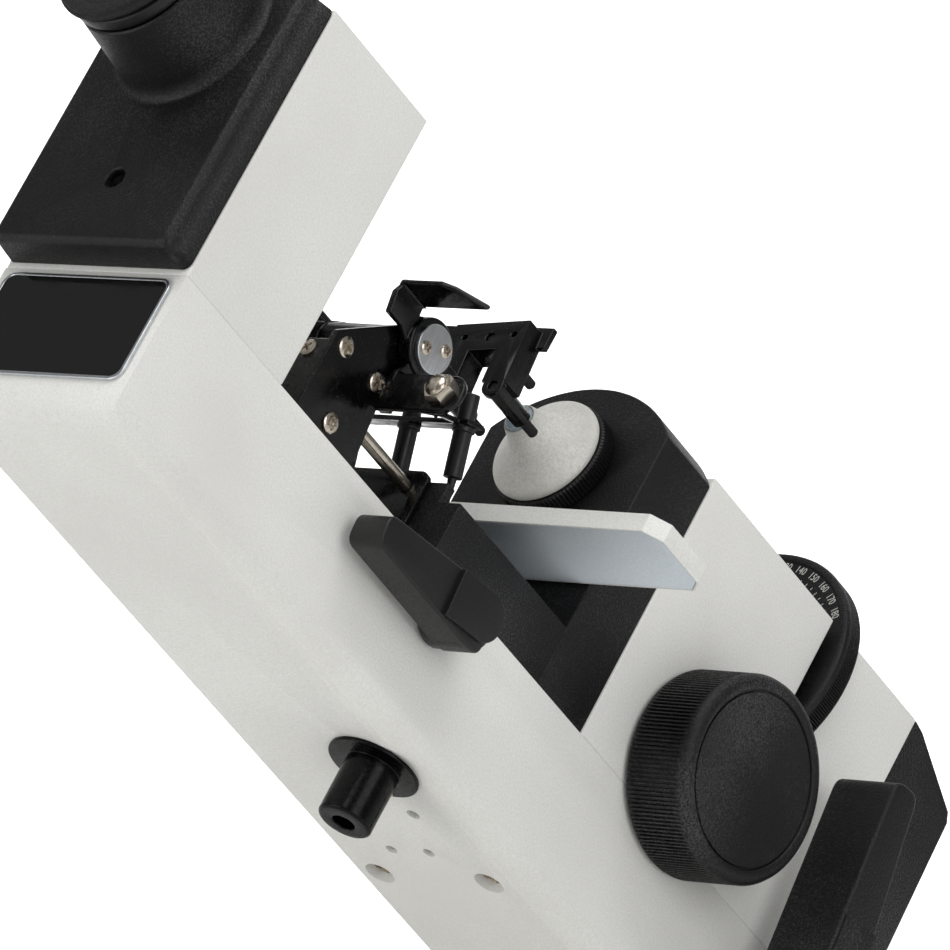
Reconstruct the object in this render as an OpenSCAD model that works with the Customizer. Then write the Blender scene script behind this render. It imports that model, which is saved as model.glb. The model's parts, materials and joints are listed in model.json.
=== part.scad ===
// Tilting lensmeter. The instrument part is drawn along its optical axis: x to the user's right,
// y along the axis away from the user, z square to both, with the lens stop's tip at zero.
// on_tube() then puts it on the tilt axis at its resting angle.

/* [Stand] */
// Angle of the optical axis below level at rest
tilt_rest = 40; // [35:1:45]
// Height of the tilt axis above the table
pivot_h = 85; // [80:1:110]
// Width of the base
base_w = 150; // [120:1:200]
// Length of the base, front to back
base_l = 240; // [220:1:300]
// Height of the base casting
base_h = 30; // [28:1:36]
// Radius of the base's corners in plan
base_corner = 26; // [15:1:35]
// Distance from the tilt axis to the base's back edge
base_back = 60; // [55:1:80]
// Wall of the base casting
base_wall = 4; // [3:0.5:6]
// Thickness of each cheek that holds the tilt shaft
cheek_t = 8; // [6:0.5:10]
// Radius of the cheeks' round tops
cheek_r = 20; // [16:0.5:21]
// Radius of the tilt shaft
shaft_r = 8; // [6:0.5:9]

/* [Body] */
// Width of spine, head and block
body_w = 70; // [64:1:84]
// Wall of the castings
wall = 3; // [2.5:0.25:4]
// Tilt axis behind the lens stop
pivot_t = 158; // [150:1:170]
// Tilt axis below the optical axis
pivot_n = 102.5; // [100:0.5:106]
// Radius of the spine's round rear end about the tilt axis
spine_end_r = 21.5; // [20:0.5:24]
// Spine's front end before the lens stop
front_t = 165.5; // [155:1:185]
// Seam between spine and head below the optical axis
seam_n = 76; // [74:0.5:78]
// Radius of the spine's long lower edges
spine_edge_r = 8.5; // [5:0.5:12]

/* [Head] */
// Head's rear face before the lens stop
head_rear_t = 115.6; // [108:0.5:118]
// Head's top above the optical axis
head_top_n = 18.3; // [16:0.5:24]
// Depth of the black head cover
cover_t = 12; // [9:0.5:16]
// Radius of the eyepiece turret at the cover
turret_r = 24.3; // [22:0.1:26]
// Length of the eyepiece turret
turret_l = 26; // [20:0.5:32]
// Length of the rubber eyecup
eyecup_l = 10.5; // [8:0.5:14]
// Radius of the eye lens
eye_lens_r = 9; // [7:0.5:11]

/* [Block] */
// Front face of the black arched block behind the lens stop
arch_t = 24.3; // [23:0.1:26]
// Depth of the black arched block
arch_d = 24.5; // [20:0.5:28]
// Crest of the arched block above the optical axis
arch_n = 28.8; // [26:0.1:32]
// Top of the lower block above the optical axis
block_top_n = 16.6; // [14:0.2:20]
// Front of the slot for the axis wheel
slot_t = 118.7; // [116:0.1:122]
// Width of the slot for the axis wheel
slot_w = 12.3; // [11.5:0.1:14]
// Rear end of the lower block
block_end_t = 168.5; // [166:0.5:172]
// Rear end of the lamp cover
lamp_end_t = 203; // [196:1:212]

/* [Nosepiece] */
// Radius of the lens stop's tip
tip_r = 4.5; // [3.5:0.1:5.5]
// Length of the translucent tip
tip_l = 7.1; // [5:0.1:8]
// Radius of the nosepiece's rim
nose_r = 17.7; // [15:0.1:20]
// Radius of the knurled ring
ring_r = 18.7; // [16:0.1:21]

/* [Dials] */
// Radius of the axis wheel
wheel_r = 41.6; // [40:0.2:45]
// Thickness of the axis wheel
wheel_w = 8.2; // [7:0.1:9.5]
// Radius of the power knob
knob_r = 30.9; // [26:0.1:32]
// Distance of the knob's face from the centre plane
knob_x = 59.2; // [54:0.1:64]
// Power shaft behind the lens stop
power_t = 95.8; // [94:0.2:98]
// Power shaft below the optical axis
power_n = 56.4; // [55:0.2:58]
// Module of the target rack and its pinion
rack_m = 0.8; // [0.6:0.05:1]
// Teeth of the pinion
pinion_z = 19; // [17:1:21]

/* [Lens table] */
// Half of the table's width
table_x = 79.5; // [60:0.5:90]
// Depth of the table
table_d = 29; // [22:0.5:32]
// Top of the table below the optical axis
table_n = 35; // [33:0.2:38]
// Thickness of the table's white edge
table_h = 6.1; // [5:0.1:8]
// Lever shaft before the lens stop
lever_t = 23.5; // [20:0.1:26]
// Lever shaft below the optical axis
lever_n = 87.3; // [85:0.1:90]
// Length of the table lever's handle
lever_l = 48; // [36:0.5:60]
// Module of the column's rack and its sector gear
column_m = 1; // [0.8:0.05:1.2]
// Teeth of a whole wheel of the sector gear's size
sector_z = 41; // [38:1:42]

/* [Lens holder] */
// Hub before the lens stop
hub_t = 62.2; // [60:0.1:64]
// Hub below the optical axis
hub_n = 22.5; // [21:0.1:24]
// Half of the bracket's width
bracket_x = 18; // [17:0.1:20]
// Radius of the guide rods
rod_r = 2; // [1.6:0.1:2.4]
// Side distance of the guide rods
rod_x = 13.5; // [12:0.1:14]
// Guide rods below the optical axis
rod_n = 53; // [52:0.1:58]
// Distance between neighbouring ink pins
pin_pitch = 21; // [19.5:0.1:22]
// Angle of the parked ink pins below the optical axis' direction
park_a = 69; // [66:1:71]

/* [Fits] */
// Radial clearance of running fits
run = 0.05; // [0.02:0.01:0.09]
// Gap between moving bodies that only pass each other
gap = 0.5; // [0.4:0.1:0.8]

/* [Hidden] */

$fn = 64;
pivot_y = base_l / 2 - base_back;
body_x = body_w / 2;
inner_x = body_x - wall;
spine_n = pivot_n + spine_end_r;
head_front_t = front_t;
cover_front_t = front_t + cover_t;
turret_end_t = cover_front_t + turret_l;
turret_tip_r = turret_r - 2.4;
slot_end_t = slot_t + slot_w;
wheel_t = slot_t + (slot_w - wheel_w) * 0.75;
spigot_r = 12;
seat = 0.02;
cheek_x = body_x + gap;
lock_x0 = cheek_x + cheek_t + gap;
lock_w = 26;
lock_l = 79;
pinion_r = rack_m * pinion_z / 2;
sector_r = column_m * sector_z / 2;
column_t = sector_r - lever_t;
column_d = 10;
column_x = 6;
housing_front_t = 35;
pad_n = 49.4;
bracket_front_t = 92.5;
bracket_rear_t = 65;
sheet = 2;
clamp_rod_x = 28;
clamp_rod_r = 2.2;
clamp_rod_n = 12;
carriage_l = 20;
carriage_t = 84;
guide_x = 20;
guide_n = 22;
guide_r = 2.5;
cavity_n = 45.2;
table_front_t = table_d - arch_t + gap;

// ---- placing and plain solids ----

module on_tube() {
    translate([0, pivot_y, pivot_h]) rotate([-tilt_rest, 0, 0]) translate([0, -pivot_t, pivot_n]) children();
}

// Box from its lowest to its highest corner.
module span(low, high) {
    translate(low) cube(high - low);
}

module along_x(r, x0, x1, t, n) {
    translate([x0, t, n]) rotate([0, 90, 0]) cylinder(r = r, h = x1 - x0);
}

module along_t(r, t0, t1, x = 0, n = 0) {
    translate([x, t0, n]) rotate([-90, 0, 0]) cylinder(r = r, h = t1 - t0);
}

module along_n(r, n0, n1, x = 0, t = 0) {
    translate([x, t, n0]) cylinder(r = r, h = n1 - n0);
}

// Turned part about the optical axis: outline points are [radius, t].
module turned(outline) {
    rotate([-90, 0, 0]) rotate_extrude() polygon(outline);
}

// Plate between x0 and x1 with its outline in the t-n plane.
module side_plate(x0, x1) {
    translate([x0, 0, 0]) rotate([90, 0, 90]) linear_extrude(x1 - x0) children();
}

// Plate between t0 and t1 with its outline in the x-n plane.
module cross_plate(t0, t1) {
    translate([0, t1, 0]) rotate([90, 0, 0]) linear_extrude(t1 - t0) children();
}

// Rectangle with round corners, from its lowest to its highest corner.
module round_rect(low, high, r) {
    translate(low + [r, 0]) square([high[0] - low[0] - 2 * r, high[1] - low[1]]);
    translate(low + [0, r]) square([high[0] - low[0], high[1] - low[1] - 2 * r]);
    for (x = [low[0] + r, high[0] - r], y = [low[1] + r, high[1] - r]) translate([x, y]) circle(r);
}

// Rack teeth along +y from y0, pitch line at z = 0, teeth pointing to -z.
module rack_teeth(m, y0, count, width) {
    p = PI * m;
    for (i = [0 : count - 1])
        translate([-width / 2, y0 + (i + 0.5) * p, 0])
            rotate([90, 0, 90]) linear_extrude(width)
                polygon([[-0.39 * p, 1.3 * m], [-0.14 * p, -0.85 * m], [0.14 * p, -0.85 * m], [0.39 * p, 1.3 * m]]);
}

// Outline of a spur gear with straight-sided teeth; the gap at angle 0 when turned by half a tooth.
module gear_outline(m, z, teeth) {
    p = 360 / z;
    circle(m * z / 2 - 1.3 * m);
    for (i = teeth) rotate(i * p)
        polygon([
            [m * z / 2 - 1.6 * m, -0.33 * PI * m], [m * z / 2, -0.2 * PI * m], [m * z / 2 + 0.85 * m, -0.1 * PI * m],
            [m * z / 2 + 0.85 * m, 0.1 * PI * m], [m * z / 2, 0.2 * PI * m], [m * z / 2 - 1.6 * m, 0.33 * PI * m]
        ]);
}

module cross_screw(r, head_h, slot) {
    difference() {
        cylinder(r = r, h = head_h);
        for (a = [0, 90]) rotate(a) translate([-r * 0.6, -slot / 2, head_h - 0.6]) cube([r * 1.2, slot, 1]);
    }
}

// ---- base ----

foot_x = base_w / 2 - base_corner;
foot_y = base_l / 2 - base_corner;
foot_h = 4;
plate_h = 1.6;
floor_z = foot_h;
inlet_x = -30;
fuse_dx = 32;
switch_y = pivot_y - 42;

module base_outline(inset) {
    round_rect([-base_w / 2 + inset, -base_l / 2 + inset], [base_w / 2 - inset, base_l / 2 - inset],
        base_corner - inset);
}

pedestal_h = 11;
pedestal_y = 28;

// Sides run from the foot to where they touch the round top.
module cheeks() {
    foot = cheek_r + 14;
    drop = pivot_h - base_h + 1;
    touch = acos(cheek_r / norm([foot, drop])) - atan2(drop, foot);
    for (side = [-1, 1]) {
        x0 = side > 0 ? cheek_x : -cheek_x - cheek_t;
        translate([0, pivot_y, 0]) side_plate(x0, x0 + cheek_t) {
            translate([0, pivot_h]) circle(cheek_r);
            polygon([
                [-foot, base_h - 1], [foot, base_h - 1],
                [cheek_r * cos(touch), pivot_h + cheek_r * sin(touch)],
                [-cheek_r * cos(touch), pivot_h + cheek_r * sin(touch)]
            ]);
        }
    }
    span([-cheek_x - cheek_t, pivot_y - pedestal_y, base_h - 1],
        [cheek_x + cheek_t, pivot_y + pedestal_y, base_h + pedestal_h]);
}

module base_casting() {
    color("ghostwhite") difference() {
        union() {
            translate([0, 0, floor_z]) linear_extrude(base_h - floor_z) base_outline(0);
            cheeks();
            for (x = [-foot_x, foot_x], y = [-foot_y, foot_y])
                translate([x, y, floor_z + plate_h]) cylinder(r = 6, h = base_h - floor_z - plate_h);
        }
        difference() {
            translate([0, 0, floor_z - 1]) linear_extrude(base_h - floor_z - base_wall + 1) base_outline(base_wall);
            for (x = [-foot_x, foot_x], y = [-foot_y, foot_y])
                translate([x, y, floor_z + plate_h]) cylinder(r = 6, h = base_h);
        }
        for (x = [-foot_x, foot_x], y = [-foot_y, foot_y])
            translate([x, y, floor_z]) cylinder(r = 1.9, h = 12);
        translate([0, pivot_y, pivot_h]) rotate([0, 90, 0])
            cylinder(r = shaft_r + run, h = 2 * (cheek_x + cheek_t) + 2, center = true);
        translate([inlet_x - 13.6, base_l / 2 - base_wall - 1, 8.4]) cube([27.2, base_wall + 2, 17.2]);
        translate([inlet_x + fuse_dx, base_l / 2 - base_wall - 1, 17]) rotate([-90, 0, 0]) cylinder(r = 6.1, h = base_wall + 2);
        translate([base_w / 2 - base_wall - 1, switch_y - 10.1, 8.9]) cube([base_wall + 2, 20.2, 12.2]);
    }
}

module base_bottom_plate() {
    color("gainsboro") difference() {
        translate([0, 0, floor_z]) linear_extrude(plate_h) base_outline(base_wall + 0.2);
        for (x = [-foot_x, foot_x], y = [-foot_y, foot_y])
            translate([x, y, floor_z - 1]) cylinder(r = 2.2, h = plate_h + 2);
    }
}

module base_feet() {
    color("dimgray") for (x = [-foot_x, foot_x], y = [-foot_y, foot_y]) translate([x, y, 0]) difference() {
        union() {
            cylinder(r1 = 9, r2 = 10, h = 1);
            translate([0, 0, 1]) cylinder(r = 10, h = foot_h - 1);
        }
        translate([0, 0, 1.2]) cylinder(r = 4, h = foot_h);
    }
}

module base_screws() {
    color("silver") for (x = [-foot_x, foot_x], y = [-foot_y, foot_y]) translate([x, y, 0]) {
        translate([0, 0, foot_h]) mirror([0, 0, 1]) cross_screw(3.4, 2, 0.8);
        translate([0, 0, foot_h]) cylinder(r = 1.9, h = 10);
    }
}

core_y = -10;
coil_z = 16;

module transformer() {
    color("darkslategray") translate([0, core_y, coil_z]) difference() {
        cube([62, 34, 19], center = true);
        for (x = [-16, 16]) translate([x, 0, 0]) cube([10, 24, 21], center = true);
    }
    color("orange") translate([0, core_y, coil_z]) difference() {
        cube([41, 23, 19.6], center = true);
        cube([22, 24, 19], center = true);
    }
}

module mains_inlet() {
    color("black") translate([inlet_x, base_l / 2, 17]) difference() {
        union() {
            translate([-15.5, 0, -10.2]) cube([31, 2, 20.4]);
            translate([-13.5, -20, -8.5]) cube([27, 20, 17]);
        }
        translate([-11.5, -15, -6.5]) cube([23, 20, 13]);
    }
    color("black") translate([inlet_x + fuse_dx, base_l / 2, 17]) rotate([-90, 0, 0]) difference() {
        union() {
            translate([0, 0, -22]) cylinder(r = 6, h = 22);
            cylinder(r = 7.5, h = 2);
            translate([0, 0, 1.9]) cylinder(r = 5.5, h = 4.1);
        }
        translate([-4, -0.6, 5]) cube([8, 1.2, 2]);
    }
    color("silver") for (x = [-7, 0, 7]) translate([inlet_x + x - 0.8, base_l / 2 - 15, x == 0 ? 18 : 14]) cube([1.6, 10, 3]);
}

switch_z = 15;

module switch_bezel() {
    color("black") translate([base_w / 2, switch_y, switch_z]) difference() {
        union() {
            translate([0, -12, -8]) cube([1.8, 24, 16]);
            translate([-16, -10, -6]) cube([16, 20, 12]);
        }
        translate([-12, -8.5, -4.6]) cube([16, 17, 9.2]);
    }
}

module rocker_switch() {
    color("darkred") translate([base_w / 2 - 6, switch_y, switch_z]) intersection() {
        cylinder(r = 9, h = 8.4, center = true, $fn = 96);
        rotate([0, 0, 6]) translate([-4, -7, -5]) cube([14, 14, 10]);
    }
}

// ---- tilt axis ----

module tilt_shaft() {
    color("silver") on_tube() {
        along_x(shaft_r, -cheek_x - cheek_t - gap, lock_x0 + lock_w - 6, pivot_t, -pivot_n);
        along_x(14, -cheek_x - cheek_t - gap - 5, -cheek_x - cheek_t - gap, pivot_t, -pivot_n);
    }
}

lock_lean = 10;
lock_top_w = 11;
lock_root_w = 20;

module tilt_lock_lever() {
    color("black") on_tube() difference() {
        translate([0, pivot_t, -pivot_n]) rotate([lock_lean, 0, 0]) union() {
            side_plate(lock_x0, lock_x0 + lock_w - 3) circle(13);
            side_plate(lock_x0 + 1, lock_x0 + lock_w) {
                polygon([
                    [-lock_root_w / 2, 0], [-lock_top_w / 2, lock_l - 4], [lock_top_w / 2, lock_l - 4],
                    [lock_root_w / 2, 0]
                ]);
                translate([0, lock_l - 4]) circle(lock_top_w / 2);
            }
        }
        along_x(shaft_r + run, lock_x0 - 1, lock_x0 + lock_w - 6 + gap, pivot_t, -pivot_n);
    }
}

// ---- spine, head and eyepiece ----

module spine_section() {
    r = spine_edge_r;
    translate([-body_x, -spine_n + r]) square([body_w, spine_n - seam_n - r]);
    translate([-body_x + r, -spine_n]) square([body_w - 2 * r, r + 1]);
    for (x = [-body_x + r, body_x - r]) translate([x, -spine_n + r]) circle(r);
}

module spine_profile() {
    r = spine_edge_r;
    translate([-front_t, -spine_n + r]) square([front_t + pivot_t, spine_n - seam_n - r]);
    translate([-front_t + r, -spine_n]) square([front_t + pivot_t - r, r + 1]);
    translate([-front_t + r, -spine_n + r]) circle(r);
    translate([pivot_t, -pivot_n]) circle(spine_end_r);
    translate([pivot_t - 1, -pivot_n]) square([block_end_t - pivot_t + 1, pivot_n - seam_n]);
}

foot_screw_x = 21.2;
foot_screw_t = 57.3;
post_x = 17;
post_t = 0;
well_x = 9;

module spine() {
    color("ghostwhite") on_tube() difference() {
        intersection() {
            cross_plate(-front_t, pivot_t + spine_end_r) spine_section();
            side_plate(-body_x, body_x) spine_profile();
        }
        difference() {
            union() {
                span([-inner_x, -front_t + wall, -spine_n + wall + 4], [inner_x, pivot_t + 4, -seam_n - wall]);
                span([-inner_x + 6, -front_t + wall + 4, -spine_n + wall], [inner_x - 6, pivot_t, -seam_n - wall]);
            }
            for (x = [-inner_x, inner_x - 8]) along_x(shaft_r + 5, x, x + 8, pivot_t, -pivot_n);
            for (x = [-foot_screw_x, foot_screw_x])
                along_n(7, -spine_n, -spine_n + 14, x, foot_screw_t);
            along_x(8, inner_x - 6, inner_x, -lever_t, -lever_n);
        }
        along_x(shaft_r, -body_x - 1, body_x + 1, pivot_t, -pivot_n);
        along_x(5 + run, inner_x - 7, body_x + 1, -lever_t, -lever_n);
        span([-well_x, -housing_front_t + 4, -seam_n - wall - 1], [well_x, arch_t - 6, -seam_n + 1]);
        for (x = [-foot_screw_x, foot_screw_x]) {
            along_n(4.7, -spine_n - 1, -spine_n + 6, x, foot_screw_t);
            along_n(2.2, -spine_n - 1, -spine_n + 15, x, foot_screw_t);
        }
        along_n(2.1, -spine_n - 1, -spine_n + 5, post_x - 2.2, 24.3);
        for (x = [-7.25, 7.25]) along_n(1.9, -spine_n - 1, -spine_n + 5, x, 43.9);
        along_n(2, -spine_n - 1, -spine_n + 6, post_x, post_t);
    }
}

module rest_post() {
    color("black") on_tube() translate([post_x, post_t, -spine_n]) mirror([0, 0, 1]) difference() {
        union() {
            cylinder(r = 14.2, h = 1.2);
            cylinder(r = 8.3, h = 19.3);
            translate([0, 0, 19.3]) cylinder(r1 = 8.3, r2 = 7.3, h = 1);
        }
        translate([0, 0, 15]) cylinder(r = 3.5, h = 7);
    }
    color("silver") on_tube() {
        for (x = [-foot_screw_x, foot_screw_x]) translate([x, foot_screw_t, -spine_n + 5]) mirror([0, 0, 1])
            cross_screw(4.5, 3, 1);
        translate([post_x - 2.2, 11.5, -spine_n - 1.2]) mirror([0, 0, 1]) cross_screw(1.8, 0.9, 0.5);
    }
}

panel_x = 32;
panel_low = 113;
panel_high = 78;

module name_panel_frame() {
    color("silver") on_tube() difference() {
        cross_plate(-front_t - 1.2, -front_t) round_rect([-panel_x, -panel_low], [panel_x, -panel_high], 4);
        cross_plate(-front_t - 2, -front_t - 0.5)
            round_rect([-panel_x + 1.1, -panel_low + 1.1], [panel_x - 1.1, -panel_high - 1.1], 3);
    }
}

module name_panel() {
    color("black") on_tube() cross_plate(-front_t - 1.1, -front_t - 0.5)
        round_rect([-panel_x + 1.1, -panel_low + 1.1], [panel_x - 1.1, -panel_high - 1.1], 3);
}

window_r = 13;

module head_shell() {
    color("ghostwhite") on_tube() difference() {
        span([-body_x, -front_t, -seam_n], [body_x, -head_rear_t, head_top_n]);
        span([-inner_x, -front_t - 1, -seam_n + wall], [inner_x, -head_rear_t - wall, head_top_n - wall]);
        along_t(window_r, -head_rear_t - wall - 1, -head_rear_t + 1);
        along_t(clamp_rod_r + run, -head_rear_t - wall - 1, -head_rear_t + 1, -clamp_rod_x, -clamp_rod_n);
    }
}

module head_cover() {
    draft = 1.2;
    r = 3;
    low = -seam_n + 1.6;
    color("dimgray") on_tube() difference() {
        hull() {
            cross_plate(-front_t - 0.5, -front_t) round_rect([-body_x, low], [body_x, head_top_n], r);
            cross_plate(-cover_front_t + 2, -cover_front_t + 3)
                round_rect([-body_x + draft, low], [body_x - draft, head_top_n - draft], r);
            cross_plate(-cover_front_t, -cover_front_t + 1)
                round_rect([-body_x + draft + 1.5, low + 1.5], [body_x - draft - 1.5, head_top_n - draft - 1.5], r);
        }
        span([-inner_x, -cover_front_t + wall, low + wall], [inner_x, -front_t + 1, head_top_n - wall - 1]);
        along_t(turret_tip_r - 2, -cover_front_t - 1, -cover_front_t + wall + 1);
        along_t(3.2, -cover_front_t - 1, -cover_front_t + wall + 1, 1.4, -52);
    }
}

module eyepiece_turret() {
    bore = turret_tip_r - 4;
    color("black") on_tube() turned([
        [bore, -turret_end_t], [turret_tip_r, -turret_end_t], [turret_r, -cover_front_t - 2.5],
        [turret_r + 2, -cover_front_t], [bore, -cover_front_t]
    ]);
}

ring_l = 7;
cell_r = 13;

module dioptre_ring() {
    bore = turret_tip_r - 4 - run;
    color("black") on_tube() turned([
        [cell_r + 1.5, -turret_end_t - ring_l], [turret_tip_r, -turret_end_t - ring_l],
        [turret_tip_r, -turret_end_t - gap], [bore, -turret_end_t - gap], [bore, -turret_end_t + 12],
        [cell_r + 1.5, -turret_end_t + 12]
    ]);
}

module eyecup() {
    back = -turret_end_t - ring_l;
    color("dimgray") on_tube() turned([
        [cell_r + 1.5, back], [turret_tip_r + 1.2, back], [turret_tip_r + 0.6, back - eyecup_l + ring_l],
        [turret_tip_r - 2, back - eyecup_l + ring_l], [turret_tip_r - 4, back - 1.2], [cell_r + 1.5, back - 1.2]
    ]);
}

module eye_lens_cell() {
    color("black") on_tube() turned([
        [eye_lens_r - 1, -turret_end_t - 2], [cell_r + 1.5 - run, -turret_end_t - 2],
        [cell_r + 1.5 - run, -turret_end_t + 10], [eye_lens_r + run, -turret_end_t + 10],
        [eye_lens_r + run, -turret_end_t], [eye_lens_r - 1, -turret_end_t]
    ]);
}

module eye_lens() {
    color("lightblue") on_tube() turned([
        [0, -turret_end_t + 0.1], [eye_lens_r * 0.7, -turret_end_t + 0.6], [eye_lens_r, -turret_end_t + 1.6],
        [eye_lens_r, -turret_end_t + 3.4], [eye_lens_r * 0.7, -turret_end_t + 4.4], [0, -turret_end_t + 5]
    ]);
}

module reticle() {
    color("lightcyan") on_tube() {
        along_t(12, -cover_front_t - 3, -cover_front_t - 1.5);
    }
    color("black") on_tube() turned([
        [12, -cover_front_t - 4], [turret_tip_r - 4, -cover_front_t - 4], [turret_tip_r - 4, -cover_front_t - 0.5],
        [12, -cover_front_t - 0.5]
    ]);
}

module erecting_prism() {
    color("azure") on_tube() side_plate(-11, 11) translate([-front_t, 0])
        polygon([[6, -12], [30, -12], [30, 10], [18, 14.5], [6, 10]]);
}

module objective_lens() {
    color("lightblue") on_tube() turned([
        [0, -head_rear_t - wall + 0.4], [window_r, -head_rear_t - wall + 1.4], [window_r, -head_rear_t - 0.6],
        [0, -head_rear_t - 0.2]
    ]);
}

// ---- lower block ----

bush_r = 7;

module arch_outline() {
    corner = 15;
    crest_r = 46;
    x = body_x - 0.3;
    intersection() {
        translate([-x, -seam_n]) square([2 * x, seam_n + arch_n]);
        translate([0, arch_n - crest_r]) circle(crest_r, $fn = 128);
    }
    translate([-x, -seam_n]) square([2 * x, seam_n + arch_n - 2 * corner]);
}

module front_block() {
    color("dimgray") on_tube() difference() {
        cross_plate(arch_t, arch_t + arch_d) arch_outline();
        along_t(15, arch_t - 1, arch_t + arch_d + 1);
        span([-25, arch_t + wall, -seam_n + wall], [25, arch_t + arch_d + 1, -wall - 15]);
    }
}

module lower_block() {
    low = -seam_n;
    white_t = arch_t + arch_d;
    color("ghostwhite") on_tube() difference() {
        span([-body_x, white_t, low], [body_x, block_end_t, block_top_n]);
        span([-body_x - 1, slot_t, -wheel_r - 1.4], [body_x + 1, slot_end_t, block_top_n + 1]);
        span([-inner_x, white_t - 1, low + wall], [inner_x, slot_t - wall, block_top_n - wall]);
        span([-12, white_t - 1, low + wall], [12, block_end_t - 10, -cavity_n]);
        span([-inner_x, slot_end_t + wall, -cavity_n + wall], [inner_x, block_end_t + 1, block_top_n - wall]);
        along_t(spigot_r + seat, slot_t - wall - 1, slot_end_t + wall + 1);
        along_x(bush_r, -body_x - 1, body_x + 1, power_t, -power_n);
    }
}

module nosepiece() {
    color("whitesmoke") on_tube() turned([
        [tip_r, 1.2], [tip_r + 0.7, 1.2], [tip_r + 1, 2.2], [tip_r + 1.7, 4.4], [tip_r + 4.7, 10.3],
        [tip_r + 5.5, 11.3], [nose_r - 1.4, 14.4], [nose_r - 0.6, 15], [nose_r, 16], [nose_r, 17.2],
        [nose_r - 0.6, 17.9], [nose_r - 3, 17.9], [tip_r - 1.5, 14], [tip_r - 1.5, tip_l], [tip_r, tip_l]
    ]);
}

module lens_stop_tip() {
    color("lightsteelblue") on_tube() turned([
        [tip_r - 2, 0.3], [tip_r - 0.8, 0], [tip_r, 0.6], [tip_r, tip_l], [tip_r - 2, tip_l]
    ]);
}

module nose_ring() {
    color("black") on_tube() difference() {
        turned([[nose_r - 3, 17.9], [ring_r - 0.5, 17.9], [ring_r, 18.6], [ring_r, arch_t], [nose_r - 3, arch_t]]);
        for (i = [0 : 59]) rotate([0, i * 6, 0]) translate([ring_r + 0.15, 0, 0]) along_t(0.5, 18.5, arch_t + 1, $fn = 8);
    }
}

module collimator_lens() {
    color("lightblue") on_tube() turned([
        [0, arch_t + 3], [15, arch_t + 5.5], [15, arch_t + 9], [0, arch_t + 10]
    ]);
}

module wheel_spigot() {
    color("silver") on_tube() turned([
        [spigot_r - 2, slot_t - wall], [spigot_r, slot_t - wall], [spigot_r, slot_end_t + wall],
        [spigot_r + 1.4, slot_end_t + wall], [spigot_r + 1.4, slot_end_t + wall + 2],
        [spigot_r - 2, slot_end_t + wall + 2]
    ]);
}

module axis_wheel() {
    color("black") on_tube() difference() {
        turned([
            [spigot_r + run, wheel_t], [wheel_r - 9, wheel_t], [wheel_r - 8.4, wheel_t - 0.5],
            [wheel_r - 1.2, wheel_t - 0.5], [wheel_r, wheel_t + 0.8], [wheel_r, wheel_t + wheel_w - 1.2],
            [wheel_r - 1.2, wheel_t + wheel_w], [spigot_r + run, wheel_t + wheel_w]
        ]);
        for (i = [0 : 119]) rotate([0, i * 3, 0]) translate([wheel_r + 0.2, 0, 0])
            along_t(0.75, wheel_t + 2, wheel_t + wheel_w + 1, $fn = 6);
    }
}

// ---- target and power drive ----

module target_guide_rods() {
    color("silver") on_tube() for (x = [-guide_x, guide_x])
        along_t(guide_r, arch_t + arch_d, slot_t - wall, x, -guide_n);
}

holder_r = 11;
rack_x = 8;

module target_carriage() {
    low = -power_n + pinion_r;
    color("silver") on_tube() {
        difference() {
            union() {
                along_t(holder_r + 2, carriage_t - carriage_l / 2, carriage_t + carriage_l / 2);
                span([-guide_x - 5, carriage_t - carriage_l / 2, -guide_n - 5],
                    [guide_x + 5, carriage_t + carriage_l / 2, -guide_n + 5]);
                span([-4, carriage_t - carriage_l / 2, low + 1.3 * rack_m + 0.01],
                    [4, carriage_t + carriage_l / 2, -guide_n]);
            }
            along_t(holder_r + run, carriage_t - carriage_l / 2 - 1, carriage_t + carriage_l / 2 + 1);
            for (x = [-guide_x, guide_x])
                along_t(guide_r + run, carriage_t - carriage_l / 2 - 1, carriage_t + carriage_l / 2 + 1, x, -guide_n);
        }
        translate([0, power_t, low]) rack_teeth(rack_m, -9 * PI * rack_m, 18, rack_x);
        span([-4, power_t - 9 * PI * rack_m, low + 1.2 * rack_m],
            [4, power_t + 9 * PI * rack_m, low + 1.2 * rack_m + 2.2]);
    }
}

module target_holder() {
    color("dimgray") on_tube() turned([
        [holder_r - 2, carriage_t - carriage_l / 2 + 1], [holder_r, carriage_t - carriage_l / 2 + 1],
        [holder_r, carriage_t + carriage_l / 2 + 4], [holder_r - 2, carriage_t + carriage_l / 2 + 4]
    ]);
}

module target_plate() {
    color("seagreen") on_tube() along_t(holder_r - 2, carriage_t - 1, carriage_t + 0.6);
}

module power_shaft() {
    color("silver") on_tube() {
        along_x(4, -body_x - 3, knob_x - 8, power_t, -power_n);
        difference() {
            translate([-6, power_t, -power_n]) rotate([0, 90, 0]) rotate(180) linear_extrude(12)
                gear_outline(rack_m, pinion_z, [0 : pinion_z - 1]);
            along_x(3.9, -7, 7, power_t, -power_n);
        }
    }
    color("white") on_tube() difference() {
        along_x(16, 14, 24, power_t, -power_n);
        along_x(14.5, 15.5, 25, power_t, -power_n);
        along_x(4, 13, 16, power_t, -power_n);
    }
}
module shaft_bushes() {
    color("goldenrod") on_tube() for (x = [-body_x, inner_x]) difference() {
        along_x(bush_r, x, x + wall, power_t, -power_n);
        along_x(4 + run, x - 1, x + wall + 1, power_t, -power_n);
    }
}

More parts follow.
